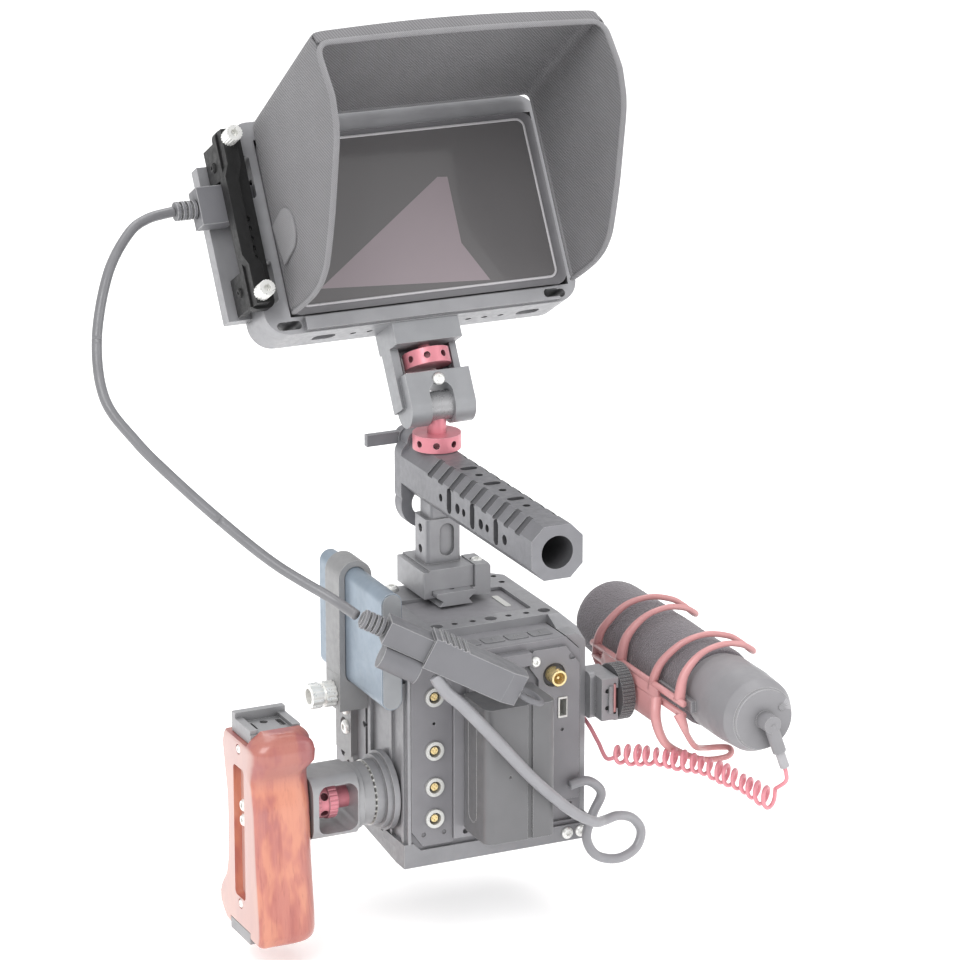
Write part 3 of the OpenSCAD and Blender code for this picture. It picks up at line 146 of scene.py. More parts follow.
def apply_modifiers(obj):
    """Replaces the object's mesh with its evaluated one."""
    graph = bpy.context.evaluated_depsgraph_get()
    mesh = bpy.data.meshes.new_from_object(obj.evaluated_get(graph))
    obj.modifiers.clear()
    obj.data = mesh


def square_to(direction):
    """Unit vector at right angles to a direction, as near to vertical as can be."""
    guess = Vector((0, 0, 1)) if abs(direction.z) < 0.8 else Vector((1, 0, 0))
    return (guess - direction * guess.dot(direction)).normalized()


def grid_faces(rows, columns, closed=False):
    """Quads between rows of points; closed joins each row's end to its start."""
    faces = []
    for r in range(rows - 1):
        for c in range(columns if closed else columns - 1):
            n = (c + 1) % columns
            faces.append((r * columns + c, r * columns + n, (r + 1) * columns + n,
                          (r + 1) * columns + c))
    return faces


def solid_faces(rows, columns):
    """Quads around a stack of rings, with a face over each end."""
    ends = [tuple(range(columns)), tuple((rows - 1) * columns + k for k in range(columns))]
    return grid_faces(rows, columns, closed=True) + ends


def prism_faces(sides):
    """Faces between an outline and its copy: both ends, then the sides."""
    faces = [tuple(range(sides)), tuple(range(sides, 2 * sides))]
    return faces + [(k, (k + 1) % sides, sides + (k + 1) % sides, sides + k) for k in range(sides)]


def sweep(path, section):
    """Rings of points along a path; section(i) gives ring i's outline as (across, up) pairs."""
    path = [Vector(p) for p in path]
    rings = []
    normal = square_to((path[1] - path[0]).normalized())
    for i, point in enumerate(path):
        ahead = (path[min(i + 1, len(path) - 1)] - path[max(i - 1, 0)]).normalized()
        normal = (normal - ahead * normal.dot(ahead)).normalized()
        side = ahead.cross(normal)
        rings.append([point + side * a + normal * b for a, b in section(i)])
    return rings


def circle(radius, sides, squash=1.0):
    return [(radius * math.cos(2 * math.pi * k / sides),
             radius * squash * math.sin(2 * math.pi * k / sides)) for k in range(sides)]


def tube(name, path, radius, material, body=None, sides=16, squash=1.0):
    """Closed tube along a path in millimetres; radius is one number or one per point."""
    radii = radius if isinstance(radius, (list, tuple)) else [radius] * len(path)
    rings = sweep(path, lambda i: circle(radii[i], sides, squash))
    vertices = [v * MM for ring in rings for v in ring]
    return piece(name, vertices, solid_faces(len(rings), sides), material, body)


def lathe(name, profile, origin, axis, material, sides):
    """Solid of revolution: profile is (along, radius) pairs in millimetres."""
    path = [Vector(origin) + Vector(axis) * a for a, _ in profile]
    direction = Vector(axis).normalized()
    normal = square_to(direction)
    side = direction.cross(normal)
    vertices = []
    for point, (_, radius) in zip(path, profile):
        vertices += [(point + (side * a + normal * b)) * MM
                     for a, b in circle(max(radius, 0.01), sides)]
    return piece(name, vertices, solid_faces(len(profile), sides), material)


def rounded_prism(name, span, centre, size, radius, axis, look="wood"):
    """Prism with rounded corners over a span along X or Z; centre and size lie across it."""
    w, h = size[0] / 2 - radius, size[1] / 2 - radius
    outline = []
    for sx, sy, start in ((1, 1, 0), (-1, 1, 90), (-1, -1, 180), (1, -1, 270)):
        for k in range(7):
            angle = math.radians(start + 90 * k / 6)
            outline.append((sx * w + radius * math.cos(angle), sy * h + radius * math.sin(angle)))
    vertices = []
    for value in span:
        for a, b in outline:
            point = {"x": (value, centre[0] + a, centre[1] + b),
                     "z": (centre[0] + a, centre[1] + b, value)}[axis]
            vertices.append(Vector(point) * MM)
    return piece(name, vertices, prism_faces(len(outline)), MATERIALS[look])


# ---- materials ----

class Shader:
    """One node material, built up by small calls."""

    def __init__(self, name, color, rough, metal=0.0):
        self.material = bpy.data.materials.new(name)
        self.material.use_nodes = True
        self.tree = self.material.node_tree
        self.surface = self.tree.nodes["Principled BSDF"]
        self.place = self.node("ShaderNodeTexCoord").outputs["Object"]
        self.height = None
        self.set("Base Color", color)
        self.set("Roughness", rough)
        self.set("Metallic", metal)
        self.color = color

    def node(self, kind, settings=(), **inputs):
        node = self.tree.nodes.new(kind)
        for key, value in dict(settings).items():
            setattr(node, key, value)
        for key, value in inputs.items():
            self.join(node.inputs[key.replace("_", " ")], value)
        return node

    def join(self, socket, value):
        if isinstance(value, bpy.types.NodeSocket):
            self.tree.links.new(value, socket)
        else:
            socket.default_value = value

    def set(self, name, value):
        self.join(self.surface.inputs[name], value)

    def math(self, operation, a, b=0.0):
        node = self.node("ShaderNodeMath", {"operation": operation})
        self.join(node.inputs[0], a)
        self.join(node.inputs[1], b)
        return node.outputs[0]

    def stretch(self, x, y, z):
        node = self.node("ShaderNodeMapping", Vector=self.place, Scale=(x, y, z))
        return node.outputs[0]

    def noise(self, size_mm, detail=3.0, vector=None, rough=0.5):
        node = self.node("ShaderNodeTexNoise", Vector=vector or self.place,
                         Scale=1000 / size_mm, Detail=detail, Roughness=rough)
        return node.outputs[0]

    def cells(self, size_mm):
        return self.node("ShaderNodeTexVoronoi", Vector=self.place, Scale=1000 / size_mm).outputs[0]

    def waves(self, direction, size_mm):
        """Sine waves along a direction."""
        dot = self.node("ShaderNodeVectorMath", {"operation": "DOT_PRODUCT"})
        self.join(dot.inputs[0], self.place)
        self.join(dot.inputs[1], direction)
        turns = self.math("MULTIPLY", dot.outputs["Value"], 2000 * math.pi / size_mm)
        return self.math("SINE", turns)

    def range(self, value, low, high, to_low=0.0, to_high=1.0):
        node = self.node("ShaderNodeMapRange", {"interpolation_type": "SMOOTHSTEP"})
        for i, v in enumerate((value, low, high, to_low, to_high)):
            self.join(node.inputs[i], v)
        return node.outputs[0]

    def mix(self, share, a, b):
        node = self.node("ShaderNodeMix", {"data_type": "RGBA"})
        for i, v in zip((0, 6, 7), (share, a, b)):      # the factor and the two colour inputs
            self.join(node.inputs[i], v)
        return node.outputs[2]

    def paint(self, share, color):
        """Mixes a colour over the base colour, by a share."""
        self.color = self.mix(share, self.color, color)
        self.set("Base Color", self.color)

    def bump(self, height, depth_mm):
        node = self.node("ShaderNodeBump", Height=height, Distance=depth_mm * MM)
        if self.height:
            self.join(node.inputs["Normal"], self.height)
        self.height = node.outputs[0]
        self.set("Normal", self.height)

    def round_edges_with_painted_highlight(self, radius_mm, light=0.0, color=(1, 1, 1, 1)):
        """Rounded edges; their rims are painted lighter by a share, towards a colour: a painted
        highlight.
        """
        bevel = self.node("ShaderNodeBevel", {"samples": 4}, Radius=radius_mm * MM)
        self.height = bevel.outputs[0]
        self.set("Normal", self.height)
        # light is the share of painted highlight on the rims, color the highlight's colour
        if light:
            face = self.node("ShaderNodeNewGeometry").outputs["True Normal"]
            dot = self.node("ShaderNodeVectorMath", {"operation": "DOT_PRODUCT"})
            self.join(dot.inputs[0], bevel.outputs[0])
            self.join(dot.inputs[1], face)
            rim = self.range(dot.outputs["Value"], 0.98, 0.8, 0.0, light)
            self.paint(rim, color)

    def darken_recesses(self, reach_mm, amount):
        """Painted shade: holes, grooves and inner corners are painted darker than open faces, by
        ambient occlusion.
        """
        node = self.node("ShaderNodeAmbientOcclusion", {"samples": 4, "only_local": True},
                         Distance=reach_mm * MM)
        shade = self.range(node.outputs["AO"], 0.9, 0.35, 0.0, amount)
        self.paint(shade, self.mix(0.75, self.color, (0, 0, 0, 1)))

    def vary(self, size_mm, amount):
        """Slow changes of tone over the surface."""
        spread = self.range(self.noise(size_mm, 2), 0.35, 0.65)
        dark = self.mix(0.5, self.color, (0, 0, 0, 1))
        self.paint(self.math("MULTIPLY", spread, amount), dark)


def metal_finish(name, color, rough=0.42, metal=0.35, grain=0.35, edge=0.35, radius=0.35):
    """Bead-blasted and anodised metal, with painted shade in its recesses and painted highlights that
    make its edges lighter.
    """
    s = Shader(name, color, rough, metal)
    s.vary(14, 0.16)
    s.darken_recesses(5, 0.85)
    s.round_edges_with_painted_highlight(radius, edge)
    s.bump(s.noise(grain, 2), 0.05)
    s.set("Roughness", s.range(s.noise(3, 4), 0.3, 0.7, rough - 0.07, rough + 0.07))
    return s.material


def plastic_finish(name, color, rough=0.5, grain=0.6, depth=0.05, edge=0.25, radius=0.4):
    """Moulded plastic with a fine spark-eroded texture, painted shade in its recesses and painted
    highlights on its edges.
    """
    s = Shader(name, color, rough)
    s.vary(18, 0.12)
    s.darken_recesses(5, 0.7)
    s.round_edges_with_painted_highlight(radius, edge)
    s.bump(s.noise(grain, 3), depth)
    s.set("Roughness", s.range(s.noise(5, 3), 0.3, 0.7, rough - 0.08, rough + 0.08))
    return s.material


def polished_finish(name, color, rough=0.32):
    """Bright turned or satin-polished metal with a pale sheen and painted highlights on its edges."""
    s = Shader(name, color, rough, 0.55)
    s.round_edges_with_painted_highlight(0.25, 0.3)
    s.bump(s.noise(0.5, 3), 0.012)
    s.set("Roughness", s.range(s.noise(2, 3), 0.3, 0.7, rough - 0.06, rough + 0.1))
    return s.material


def twill_finish(name, color, pitch=1.1):
    """Coated twill: fine diagonal ribs crossed by threads."""
    s = Shader(name, color, 0.8)
    s.vary(22, 0.14)
    ribs = s.waves((0.7, ARM_UP.y * 0.5 - ARM_IN.y * 0.5, ARM_UP.z * 0.5 - ARM_IN.z * 0.5), pitch)
    threads = s.waves((0.5, -0.6, 0.62), pitch * 0.45)
    s.bump(s.math("ADD", ribs, s.math("MULTIPLY", threads, 0.35)), 0.10)
    s.bump(s.noise(0.25, 2), 0.03)
    shade = s.range(ribs, -1, 1, 0.0, 0.16)
    s.paint(shade, (0.6, 0.6, 0.6, 1))
    s.set("Sheen Weight", 0.12)
    s.set("Sheen Roughness", 0.4)
    return s.material


def wood_finish():
    """Oiled hardwood: grain up the grip, warm and mauve patches, a darker thumb rest, pores,
    an outer face painted paler as painted light, and a light varnish."""
    s = Shader("oiled_wood", tone(192, 118, 102), 0.34)
    grain = s.noise(9, 5, s.stretch(1.0, 1.0, 0.07), 0.6)
    s.paint(s.range(grain, 0.42, 0.62, 0.0, 0.8), tone(176, 98, 86))
    rings = s.noise(3.2, 4, s.stretch(1.0, 1.0, 0.05), 0.65)
    s.paint(s.range(rings, 0.52, 0.68, 0.0, 0.5), tone(160, 84, 76))
    height = s.node("ShaderNodeSeparateXYZ", Vector=s.place).outputs["Z"]
    glow = s.noise(17, 3, s.stretch(1.0, 1.0, 0.4), 0.6)
    s.paint(s.range(glow, 0.46, 0.6, 0.0, 0.55), tone(216, 148, 118))
    mauve = s.math("MULTIPLY", s.range(glow, 0.56, 0.4), s.range(height, -0.01, 0.06, 0.25, 1.0))
    s.paint(s.math("MULTIPLY", mauve, 0.7), tone(160, 98, 100))
    crown = s.range(height, 0.048, 0.06, 0.0, 0.6)
    s.paint(crown, tone(146, 82, 84))
    pores = s.noise(0.9, 2, s.stretch(1.0, 1.0, 0.06))
    s.paint(s.range(pores, 0.62, 0.7, 0.0, 0.16), tone(120, 60, 54))
    # Painted light: the outer face, which faces the key lamp, is painted paler.
    face = s.node("ShaderNodeSeparateXYZ", Vector=s.node("ShaderNodeNewGeometry").outputs["Normal"])
    outer = s.range(face.outputs["X"], -0.8, -0.97, 0.0, 0.74)
    s.paint(outer, tone(196, 164, 157))
    s.bump(s.math("ADD", pores, s.math("MULTIPLY", rings, 0.5)), 0.05)
    s.set("Coat Weight", 0.6)
    s.set("Coat Roughness", 0.16)
    return s.material


def foam_finish():
    """Open-cell foam: pits of two sizes; painted shade darkens the larger pits and a painted highlight
    lightens the fine raised grain.
    """
    s = Shader("foam", tone(112, 106, 111), 0.95)
    pits = s.cells(0.9)
    fine = s.noise(0.5, 4)
    # Painted shade: the centres of the larger pits are painted darker.
    s.paint(s.range(pits, 0.35, 0.05, 0.0, 0.5), tone(70, 62, 68))
    # Painted highlight: the raised fine grain is painted lighter.
    s.paint(s.range(fine, 0.5, 0.75, 0.0, 0.5), tone(158, 150, 156))
    s.vary(16, 0.2)
    s.bump(pits, 0.5)
    s.bump(fine, 0.25)
    s.set("Sheen Weight", 0.3)
    return s.material


def cable_finish(name, color, rough, coat):
    """Soft cable jacket or springy plastic, slightly glossy and scuffed."""
    s = Shader(name, color, rough)
    s.vary(12, 0.15)
    s.bump(s.noise(0.4, 3), 0.03)
    s.set("Roughness", s.range(s.noise(4, 3), 0.3, 0.7, rough - 0.1, rough + 0.1))
    s.set("Coat Weight", coat)
    return s.material


def screen_finish(name, color, rough):
    """Dark glass, or a paler patch on it that is a painted reflection of the inside of the hood."""
    s = Shader(name, color, rough)
    s.set("Coat Weight", 0.3)
    s.vary(60, 0.06)
    return s.material


MATERIALS = {
    "cage": metal_finish("cage_anodised", tone(153, 153, 156)),
    "camera": plastic_finish("camera_paint", tone(142, 141, 145), 0.5, 0.5, 0.05),
    "rear": plastic_finish("rear_module_paint", tone(134, 133, 137), 0.48, 0.45, 0.04),
    "port": plastic_finish("port_module_paint", tone(126, 125, 129), 0.46, 0.45, 0.04),
    "handle": metal_finish("handle_anodised", tone(127, 127, 131), 0.4, 0.3),
    "post": metal_finish("handle_post_anodised", tone(158, 158, 161), 0.4, 0.3),
    "rod_clamp": metal_finish("rod_clamp_anodised", tone(132, 132, 136), 0.45, 0.3),
    "arm": metal_finish("arm_anodised", tone(150, 151, 154), 0.38, 0.35),
    "monitor_cage": metal_finish("monitor_cage_anodised", tone(152, 152, 155), 0.4, 0.35),
    "monitor": plastic_finish("monitor_plastic", tone(112, 111, 114), 0.4),
    "trim": plastic_finish("monitor_trim", tone(186, 184, 187), 0.35),
    "screen": screen_finish("screen_glass", tone(100, 98, 99), 0.14),
    # painted reflection on the monitor glass
    "sheen": screen_finish("screen_sheen", tone(144, 133, 138), 0.3),
    "clamp": metal_finish("clamp_black_anodised", tone(3, 3, 4), 0.5, 0.0, 0.3, 0.05),
    "bright": polished_finish("bright_steel", tone(240, 240, 237)),
    "steel": polished_finish("satin_steel", tone(206, 206, 203), 0.36),
    "barrel": metal_finish("barrel_steel", tone(164, 164, 166), 0.3, 0.5),
    "base": metal_finish("base_anodised", tone(138, 138, 141)),
    "red": metal_finish("red_anodised", tone(216, 136, 147), 0.38, 0.3, 0.4, 0.4),
    "battery": plastic_finish("battery_plastic", tone(107, 107, 109), 0.38, 0.6, 0.03, 0.4),
    "button": plastic_finish("button_plastic", tone(126, 126, 129), 0.42, 0.4, 0.03, 0.4, 0.3),
    "gold": polished_finish("gold_plating", tone(236, 214, 158), 0.28),
    "circuit": plastic_finish("circuit_board", tone(70, 120, 90), 0.4),
    "sink": polished_finish("bare_aluminium", tone(200, 200, 202), 0.38),
    "drive": metal_finish("drive_blue_anodised", tone(142, 155, 168), 0.36, 0.45, 0.5, 0.5),
    "drive_end": metal_finish("drive_end_anodised", tone(150, 152, 155), 0.4, 0.4),
    "band": metal_finish("band_anodised", tone(146, 146, 147), 0.42, 0.3),
    "fitting": metal_finish("fitting_anodised", tone(158, 158, 160), 0.45, 0.3),
    "grip_arm": metal_finish("grip_arm_anodised", tone(158, 158, 160), 0.38, 0.3),
    "mic": plastic_finish("microphone_plastic", tone(138, 137, 140), 0.42, 0.6, 0.03, 0.25, 0.8),
    "mic_rim": plastic_finish("microphone_rim", tone(166, 165, 168), 0.4, 0.6, 0.03, 0.4, 0.5),
    "wheel": plastic_finish("wheel_plastic", tone(88, 88, 90), 0.45, 0.6, 0.03, 0.5, 0.3),
    "lyre": cable_finish("lyre_plastic", tone(204, 146, 146), 0.4, 0.2),
    "coil": cable_finish("coil_rubber", tone(222, 142, 152), 0.42, 0.2),
    "cable": cable_finish("cable_jacket", tone(148, 148, 152), 0.4, 0.25),
    "signal_cable": cable_finish("signal_cable_jacket", tone(116, 116, 119), 0.42, 0.25),
    "plug": plastic_finish("plug_plastic", tone(112, 112, 116), 0.45, 0.5, 0.03, 0.5, 0.8),
    "hood": twill_finish("hood_twill", tone(106, 105, 108)),
    "binding": twill_finish("hood_binding", tone(130, 129, 132), 0.7),
    # painted shade: a darker metal for the handle's holes and notches and the signal output's seat
    "recess": metal_finish("recess_shadow", tone(92, 92, 95), 0.5, 0.2, 0.35, 0.15),
    "wood": wood_finish(),
    "foam": foam_finish(),
}

NODE_LOOKS = {
    "base": "base_plate",
    "cage": "cage_top cage_left cage_right rosette mic_shoe",
    "camera": "camera_shell battery_plate",
    "rear": "rear_cover",
    "port": "port_module",
    "handle": "top_handle",
    "post": "handle_clamp clamp_jaw nato_rail",
    "rod_clamp": "rod_clamp rod_lever",
    "arm": "arm_body",
    "monitor_cage": "monitor_cage",
    "monitor": "monitor_body",
    "screen": "monitor_screen touch_screen",
    "clamp": "cable_clamp_base cable_clamp_bar",
    "bright": "cage_screws jaw_screw thumbscrew_upper thumbscrew_lower grip_screws drive_knob",
    "steel": "lens_mount connector_sockets",
    "red": "arm_stud arm_lock_ring arm_wheel lock_wheel",
    "battery": "battery_pack battery_latch",
    "button": "menu_button_1 menu_button_2 menu_button_3 menu_button_4 lens_lock_ring cooling_fan",
    "circuit": "circuit_boards",
    "sink": "heat_sink",
    "drive": "drive_case",
    "band": "drive_clamp",
    "fitting": "grip_fittings",
    "grip_arm": "grip_arm",
    "mic": "mic_body",
    "wheel": "mic_wheel",
    "lyre": "mic_suspension",
    "coil": "mic_cable",
    "signal_cable": "hdmi_cable",
    "cable": "power_cable",
    "plug": "hdmi_plug signal_converter",
    "hood": "sunhood",
    "wood": "wooden_grip",
    "foam": "mic_windshield",
}


def dress_cad_nodes():
    for look, nodes in NODE_LOOKS.items():
        for node in nodes.split():
            mesh = NODES[node].data
            mesh.materials.clear()
            mesh.materials.append(MATERIALS[look])


def second_look(node, look, chosen):
    """Gives the faces whose centre, in millimetres, is chosen another material."""
    mesh = NODES[node].data
    mesh.materials.append(MATERIALS[look])
    for polygon in mesh.polygons:
        if chosen(polygon.center / MM):
            polygon.material_index = len(mesh.materials) - 1


SOCKETS = [(-34.3, z) for z in (24.5, 41, 60, 88)]
SIGNAL_OUTPUT = (31, 89.4)


def off_axis(place, axis):
    """Distance of a place from an axis along Y given by its x and z."""
    return math.hypot(place.x - axis[0], place.z - axis[1])


def is_contact(place):
    return min(off_axis(place, axis) for axis in SOCKETS) < 2.2 or off_axis(place, SIGNAL_OUTPUT) < 4.4


def is_output_seat(place):
    return 4.4 <= off_axis(place, SIGNAL_OUTPUT) < 6.5


def is_handle_recess(place):
    """Holes, slots, notches and bores of the tube: whatever lies inside its octagon."""
    x, z = abs(place.x - ARM_PIVOT.x), abs(place.z - HANDLE_AXIS_Z)
    depth = min(13.5 - x, 13.5 - z, (20.5 - x - z) / math.sqrt(2))
    return depth > 0.3 and -93.5 < place.y < 57.5


def is_microphone_rim(place):
    return place.y < MIC_RIM_Y and off_axis(place, MIC_AXIS.xz) > 14


def is_drive_end(place):
    return not DRIVE_CASE_Y[0] <= place.y <= DRIVE_CASE_Y[1]


def add_second_looks():
    second_look("connector_sockets", "gold", is_contact)
    # Painted shade: the signal output's seat and the handle's holes, notches and bores take the darker
    # recess metal.
    second_look("connector_sockets", "recess", is_output_seat)
    second_look("top_handle", "recess", is_handle_recess)
    second_look("arm_stud", "barrel", lambda place: place.z > ARM_PIVOT.z - 8)
    second_look("rosette", "steel", lambda place: place.x < ROSETTE_FACE_X)
    second_look("mic_body", "mic_rim", is_microphone_rim)
    second_look("drive_case", "drive_end", is_drive_end)


# ---- sunhood ----

HOOD_HALF = 76.0                              # half the hood's width
HOOD_LOWER = [(2.2, 0.6), (18, 0.5), (34, 1.0), (46, 3.4), (56.5, 8), (67, 18), (78, 29.5),
              (90, 44), (101.6, 58), (105, 65)]   # lower edge of a side: depth, height
HOOD_RIM = [(105, 65), (107.5, 78), (101, 106.5), (97, 111.5)]
HOOD_LIP = 2 / 3                              # share of the rim below the front band
HOOD_STEPS = 18                               # steps up a side panel
HOOD_ROOT_TOP = (2.2, 98.0)                   # top edge of a side at the monitor
HOOD_DROOP = 2.4                              # the right end of the front edge hangs lower
HOOD_CORNER = 3.5                             # rounding between the sides and the top


def hood_side_point(t, a):
    """Depth and height on a side panel: t from root to rim, a from its lower edge to the top."""
    low = along(HOOD_LOWER, t)
    top = Vector(HOOD_ROOT_TOP).lerp(Vector(HOOD_RIM[-1]), t)
    straight = low.lerp(top, a)
    rim = along(HOOD_RIM, a)
    chord = Vector(HOOD_RIM[0]).lerp(Vector(HOOD_RIM[-1]), a)
    return straight + (rim - chord) * t ** 3


def hood_section(t):
    """Outline of the hood at share t of its depth, from the left flap over the top to the right."""
    over = 25                                 # steps over the top
    left = []
    for k in range(HOOD_STEPS + 1):
        a = k / HOOD_STEPS
        depth, height = hood_side_point(t, a)
        swell = 1.2 * math.sin(math.pi * a) ** 2 * math.sin(math.pi * min(t * 1.1, 1))
        left.append((-HOOD_HALF - swell, depth, height))
    depth, height = hood_side_point(t, 1)
    top = []
    for k in range(over + 1):
        x = -HOOD_HALF + HOOD_CORNER + (2 * HOOD_HALF - 2 * HOOD_CORNER) * k / over
        arch = math.sin(math.pi * k / over) * (2.5 * t ** 3 - 1.2 * math.sin(math.pi * t))
        top.append((x, depth, height + 2.0 + arch))
    left[-1] = (-HOOD_HALF, depth, height - 2.0)
    bend = [(-HOOD_HALF + HOOD_CORNER * 0.3, depth, height + 1.0)]
    right = [(-x, d, h) for x, d, h in reversed(left)]
    outline = left + bend + top + [(-bend[0][0], depth, height + 1.0)] + right
    return [(x, d, h - hood_droop(x, h) * t) for x, d, h in outline]


def hood_droop(x, height):
    """How far the front edge hangs down, more towards the right and the top."""
    return HOOD_DROOP * (x / HOOD_HALF + 1) / 2 * smooth((height - 80) / 30)


def hood_front_band():
    """Band that turns down from the top's front edge: its upper and lower lines."""
    lip_depth, lip_height = along(HOOD_RIM, HOOD_LIP)
    ridge = [p for p in hood_section(1.0) if abs(p[0]) <= HOOD_HALF - 1 and p[2] > 105]
    span = HOOD_HALF * 0.995
    lower = []
    for x, _, height in ridge:
        arch = 1.5 * math.cos(math.pi / 2 * x / HOOD_HALF)
        lower.append((x / (HOOD_HALF - 1) * span, lip_depth, lip_height + arch - hood_droop(x, height)))
    return ridge, lower


def hood_panel(name, rows):
    """Sheet of the hood's fabric through rows of hood points."""
    vertices = [hood_point(*p) for row in rows for p in row]
    panel = piece(name, vertices, grid_faces(len(rows), len(rows[0])), MATERIALS["hood"])
    modify(panel, "SOLIDIFY", thickness=1.5 * MM, offset=0)
    modify(panel, "SUBSURF", levels=1, render_levels=1)
    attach(panel, "hood")
    return panel


def hood_tube(name, points, radius, look, sides, squash=1.0):
    """Bound edge, seam or rail through hood points."""
    path = [hood_point(*p) / MM for p in points]
    line = tube(name, path, radius, MATERIALS[look], "hood", sides, squash)
    return line


def make_hood():
    sections = [hood_section(k / 24) for k in range(25)]
    hood = hood_panel("sunhood_sheet", sections)
    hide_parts("sunhood")
    ridge, lip = hood_front_band()
    hood_panel("sunhood_front_band", [[Vector(a).lerp(Vector(b), s / 5) for a, b in zip(ridge, lip)]
                                      for s in range(6)])

    lower = [section[0] for section in sections]
    rim = sections[-1]
    share = round(HOOD_STEPS * HOOD_LIP)
    edge = lower + rim[1:share] + lip[1:-1] + rim[-share:-1]
    edge += [(-x, d, h) for x, d, h in reversed(lower)]
    binding = hood_tube("sunhood_binding", edge, 1.6, "binding", 12, 0.75)
    modify(binding, "SUBSURF", levels=1, render_levels=1)
    root = [(x * 0.995, d + 1.2, h - 0.6) for x, d, h in hood_section(0.02)]
    hood_tube("sunhood_root_seam", root, 1.1, "binding", 10)

    # rail around three sides of the screen that carries the hood
    side, foot, head = 73.5, 7, 94
    corners = [Vector((x, 1.5, z)) for x, z in ((-side, foot), (-side, head), (side, head),
                                                (side, foot))]
    rail = [corners[k].lerp(corners[k + 1], s / 12) for k in range(3) for s in range(13)]
    hood_tube("sunhood_frame", rail, 1.6, "monitor", 8)


def make_hood_tab():
    """Rounded fabric tab sewn on the lower left of the hood."""
    length, width = 26, 22
    outline = []
    for k in range(19):
        angle = math.pi * (k / 18 - 0.5)
        outline.append((length - width / 2 + width / 2 * math.cos(angle),
                        width / 2 * math.sin(angle)))
    outline += [(0, width / 2), (0, -width / 2)]
    centre = Vector((8, 34))
    turn = Matrix.Rotation(math.radians(14), 2)
    bottom, top = [], []
    for a, b in outline:
        depth, height = centre + turn @ Vector((a, b))
        bottom.append(hood_point(-HOOD_HALF - 1.2, depth, height))
        top.append(hood_point(-HOOD_HALF - 2.6, depth, height))
    tab = piece("sunhood_tab", bottom + top, prism_faces(len(outline)), MATERIALS["binding"], "hood",
                flat=True)
    modify(tab, "BEVEL", width=0.5 * MM, segments=2)


# ---- panel under the cage's window ----

def make_top_panel():
    """Panel that fills the window of the cage's top, with a bright slot in its right part."""
    panel = rounded_prism("top_panel", (105.8, 110.2), (8, 19.5), (56.4, 36.4), 1.8, "z", "camera")
    slot = rounded_prism("top_panel_slot", (110.1, 110.6), (29, 21), (3.4, 17), 1.0, "z", "steel")
    for part in (panel, slot):
        for polygon in part.data.polygons:
            polygon.use_smooth = False
        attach(part, "camera")
    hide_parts("touch_screen")


# ---- monitor glass ----

GLASS = (70.0, 4.0, 87.5)                     # half width, foot and head of the glass
# Outline of the painted reflection of the hood's inside on the glass
SHEEN = [(16.8, 62), (22.2, 61.5), (21.9, 26.7), (33.1, 6), (-58.2, 11.8)]   # across, height


def rounded_outline(half_width, low, high, radius):
    """Rounded rectangle as (across, height) pairs."""
    points = []
    for sx, sy, start in ((1, 1, 0), (-1, 1, 90), (-1, -1, 180), (1, -1, 270)):
        cx = sx * (half_width - radius)
        cy = (high if sy > 0 else low) - sy * radius
        for k in range(7):
            angle = math.radians(start + 15 * k)
            points.append((cx + radius * math.cos(angle), cy + radius * math.sin(angle)))
    return points


def slab(name, outline, depths, material):
    """Plate parallel to the monitor's face, between two depths in front of it."""
    vertices = [hood_point(x, depth, h) for depth in depths for x, h in outline]
    return piece(name, vertices, prism_faces(len(outline)), MATERIALS[material], "monitor", flat=True)


def make_glass():
    half, low, high = GLASS
    outline = rounded_outline(half, low, high, 4)
    glass = slab("monitor_glass", outline, (-0.2, 0.5), "screen")
    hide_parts("monitor_screen")
    # Painted reflection: a paler patch laid on the glass
    sheen = slab("monitor_sheen", SHEEN, (0.45, 0.56), "sheen")
    path = [hood_point(x, 0.3, h) / MM for x, h in outline + outline[:2]]
    trim = tube("monitor_trim", path, 0.7, MATERIALS["trim"], "monitor", 8)


# ---- wooden grip ----

GRIP_REAR = [(-31, 19.0), (-29, 22.5), (-24, 24.6), (-16, 24.4), (0, 22.5), (14, 21.0), (28, 20.2),
             (40, 19.4), (50, 17.2), (55, 16.4), (59, 18.6), (64, 21.4), (69, 21.9), (74, 20.6),
             (77, 18.4), (78.6, 15.0)]        # height, reach towards the operator
GRIP_FRONT = [(-31, 13.0), (-28, 19.5), (-25, 23.5), (-21, 27.8), (-16, 28.2), (-11, 25.6),
              (-4, 19.6), (6, 16.8), (26, 16.2), (40, 16.8), (54, 20.0), (65, 22.2), (72, 19.4),
              (76, 14.0), (78.6, 10.0)]       # height, reach towards the lens


def profile_at(profile, z):
    heights, values = zip(*profile)
    return float(np.interp(z, heights, values))


def grip_section(z):
    """Outline of the grip at height z: crisp outer edges, well rounded inner ones.

    The thumb rest bulges towards the camera only behind the arm's plate, which it passes when the
    grip slides down.
    """
    rear, front = profile_at(GRIP_REAR, z), profile_at(GRIP_FRONT, z)
    x0, x1 = GRIP_X
    end = min(smooth((z - GRIP_FOOT) / 5 + 0.2), smooth((GRIP_TOP - z) / 5 + 0.15))
    thumb = smooth((z - 52) / 10)
    x0 += 3.2 * (1 - end) + 4.5 * thumb * smooth((z - 70) / 8)
    x1 -= 3.2 * (1 - end)
    rear_radius = 2.4 + 7.5 * thumb
    corners = [(x0, -rear, rear_radius, 180), (x1, -rear, 10.5, 270), (x1, front, 10.5, 0),
               (x0, front, 2.4, 90)]
    middle = (x0 + x1) / 2
    points = []
    for x, y, radius, start in corners:
        cx = x + radius if x < middle else x - radius
        cy = y + radius if y < 0 else y - radius
        for k in range(9):
            angle = math.radians(start + 90 * k / 8)
            across = cy + radius * math.sin(angle)
            lip = 4.2 * thumb * smooth((-across - 16) / 4) * smooth((x - middle) / 5)
            points.append((cx + radius * math.cos(angle) + lip, GRIP_Y + across, z))
    return points


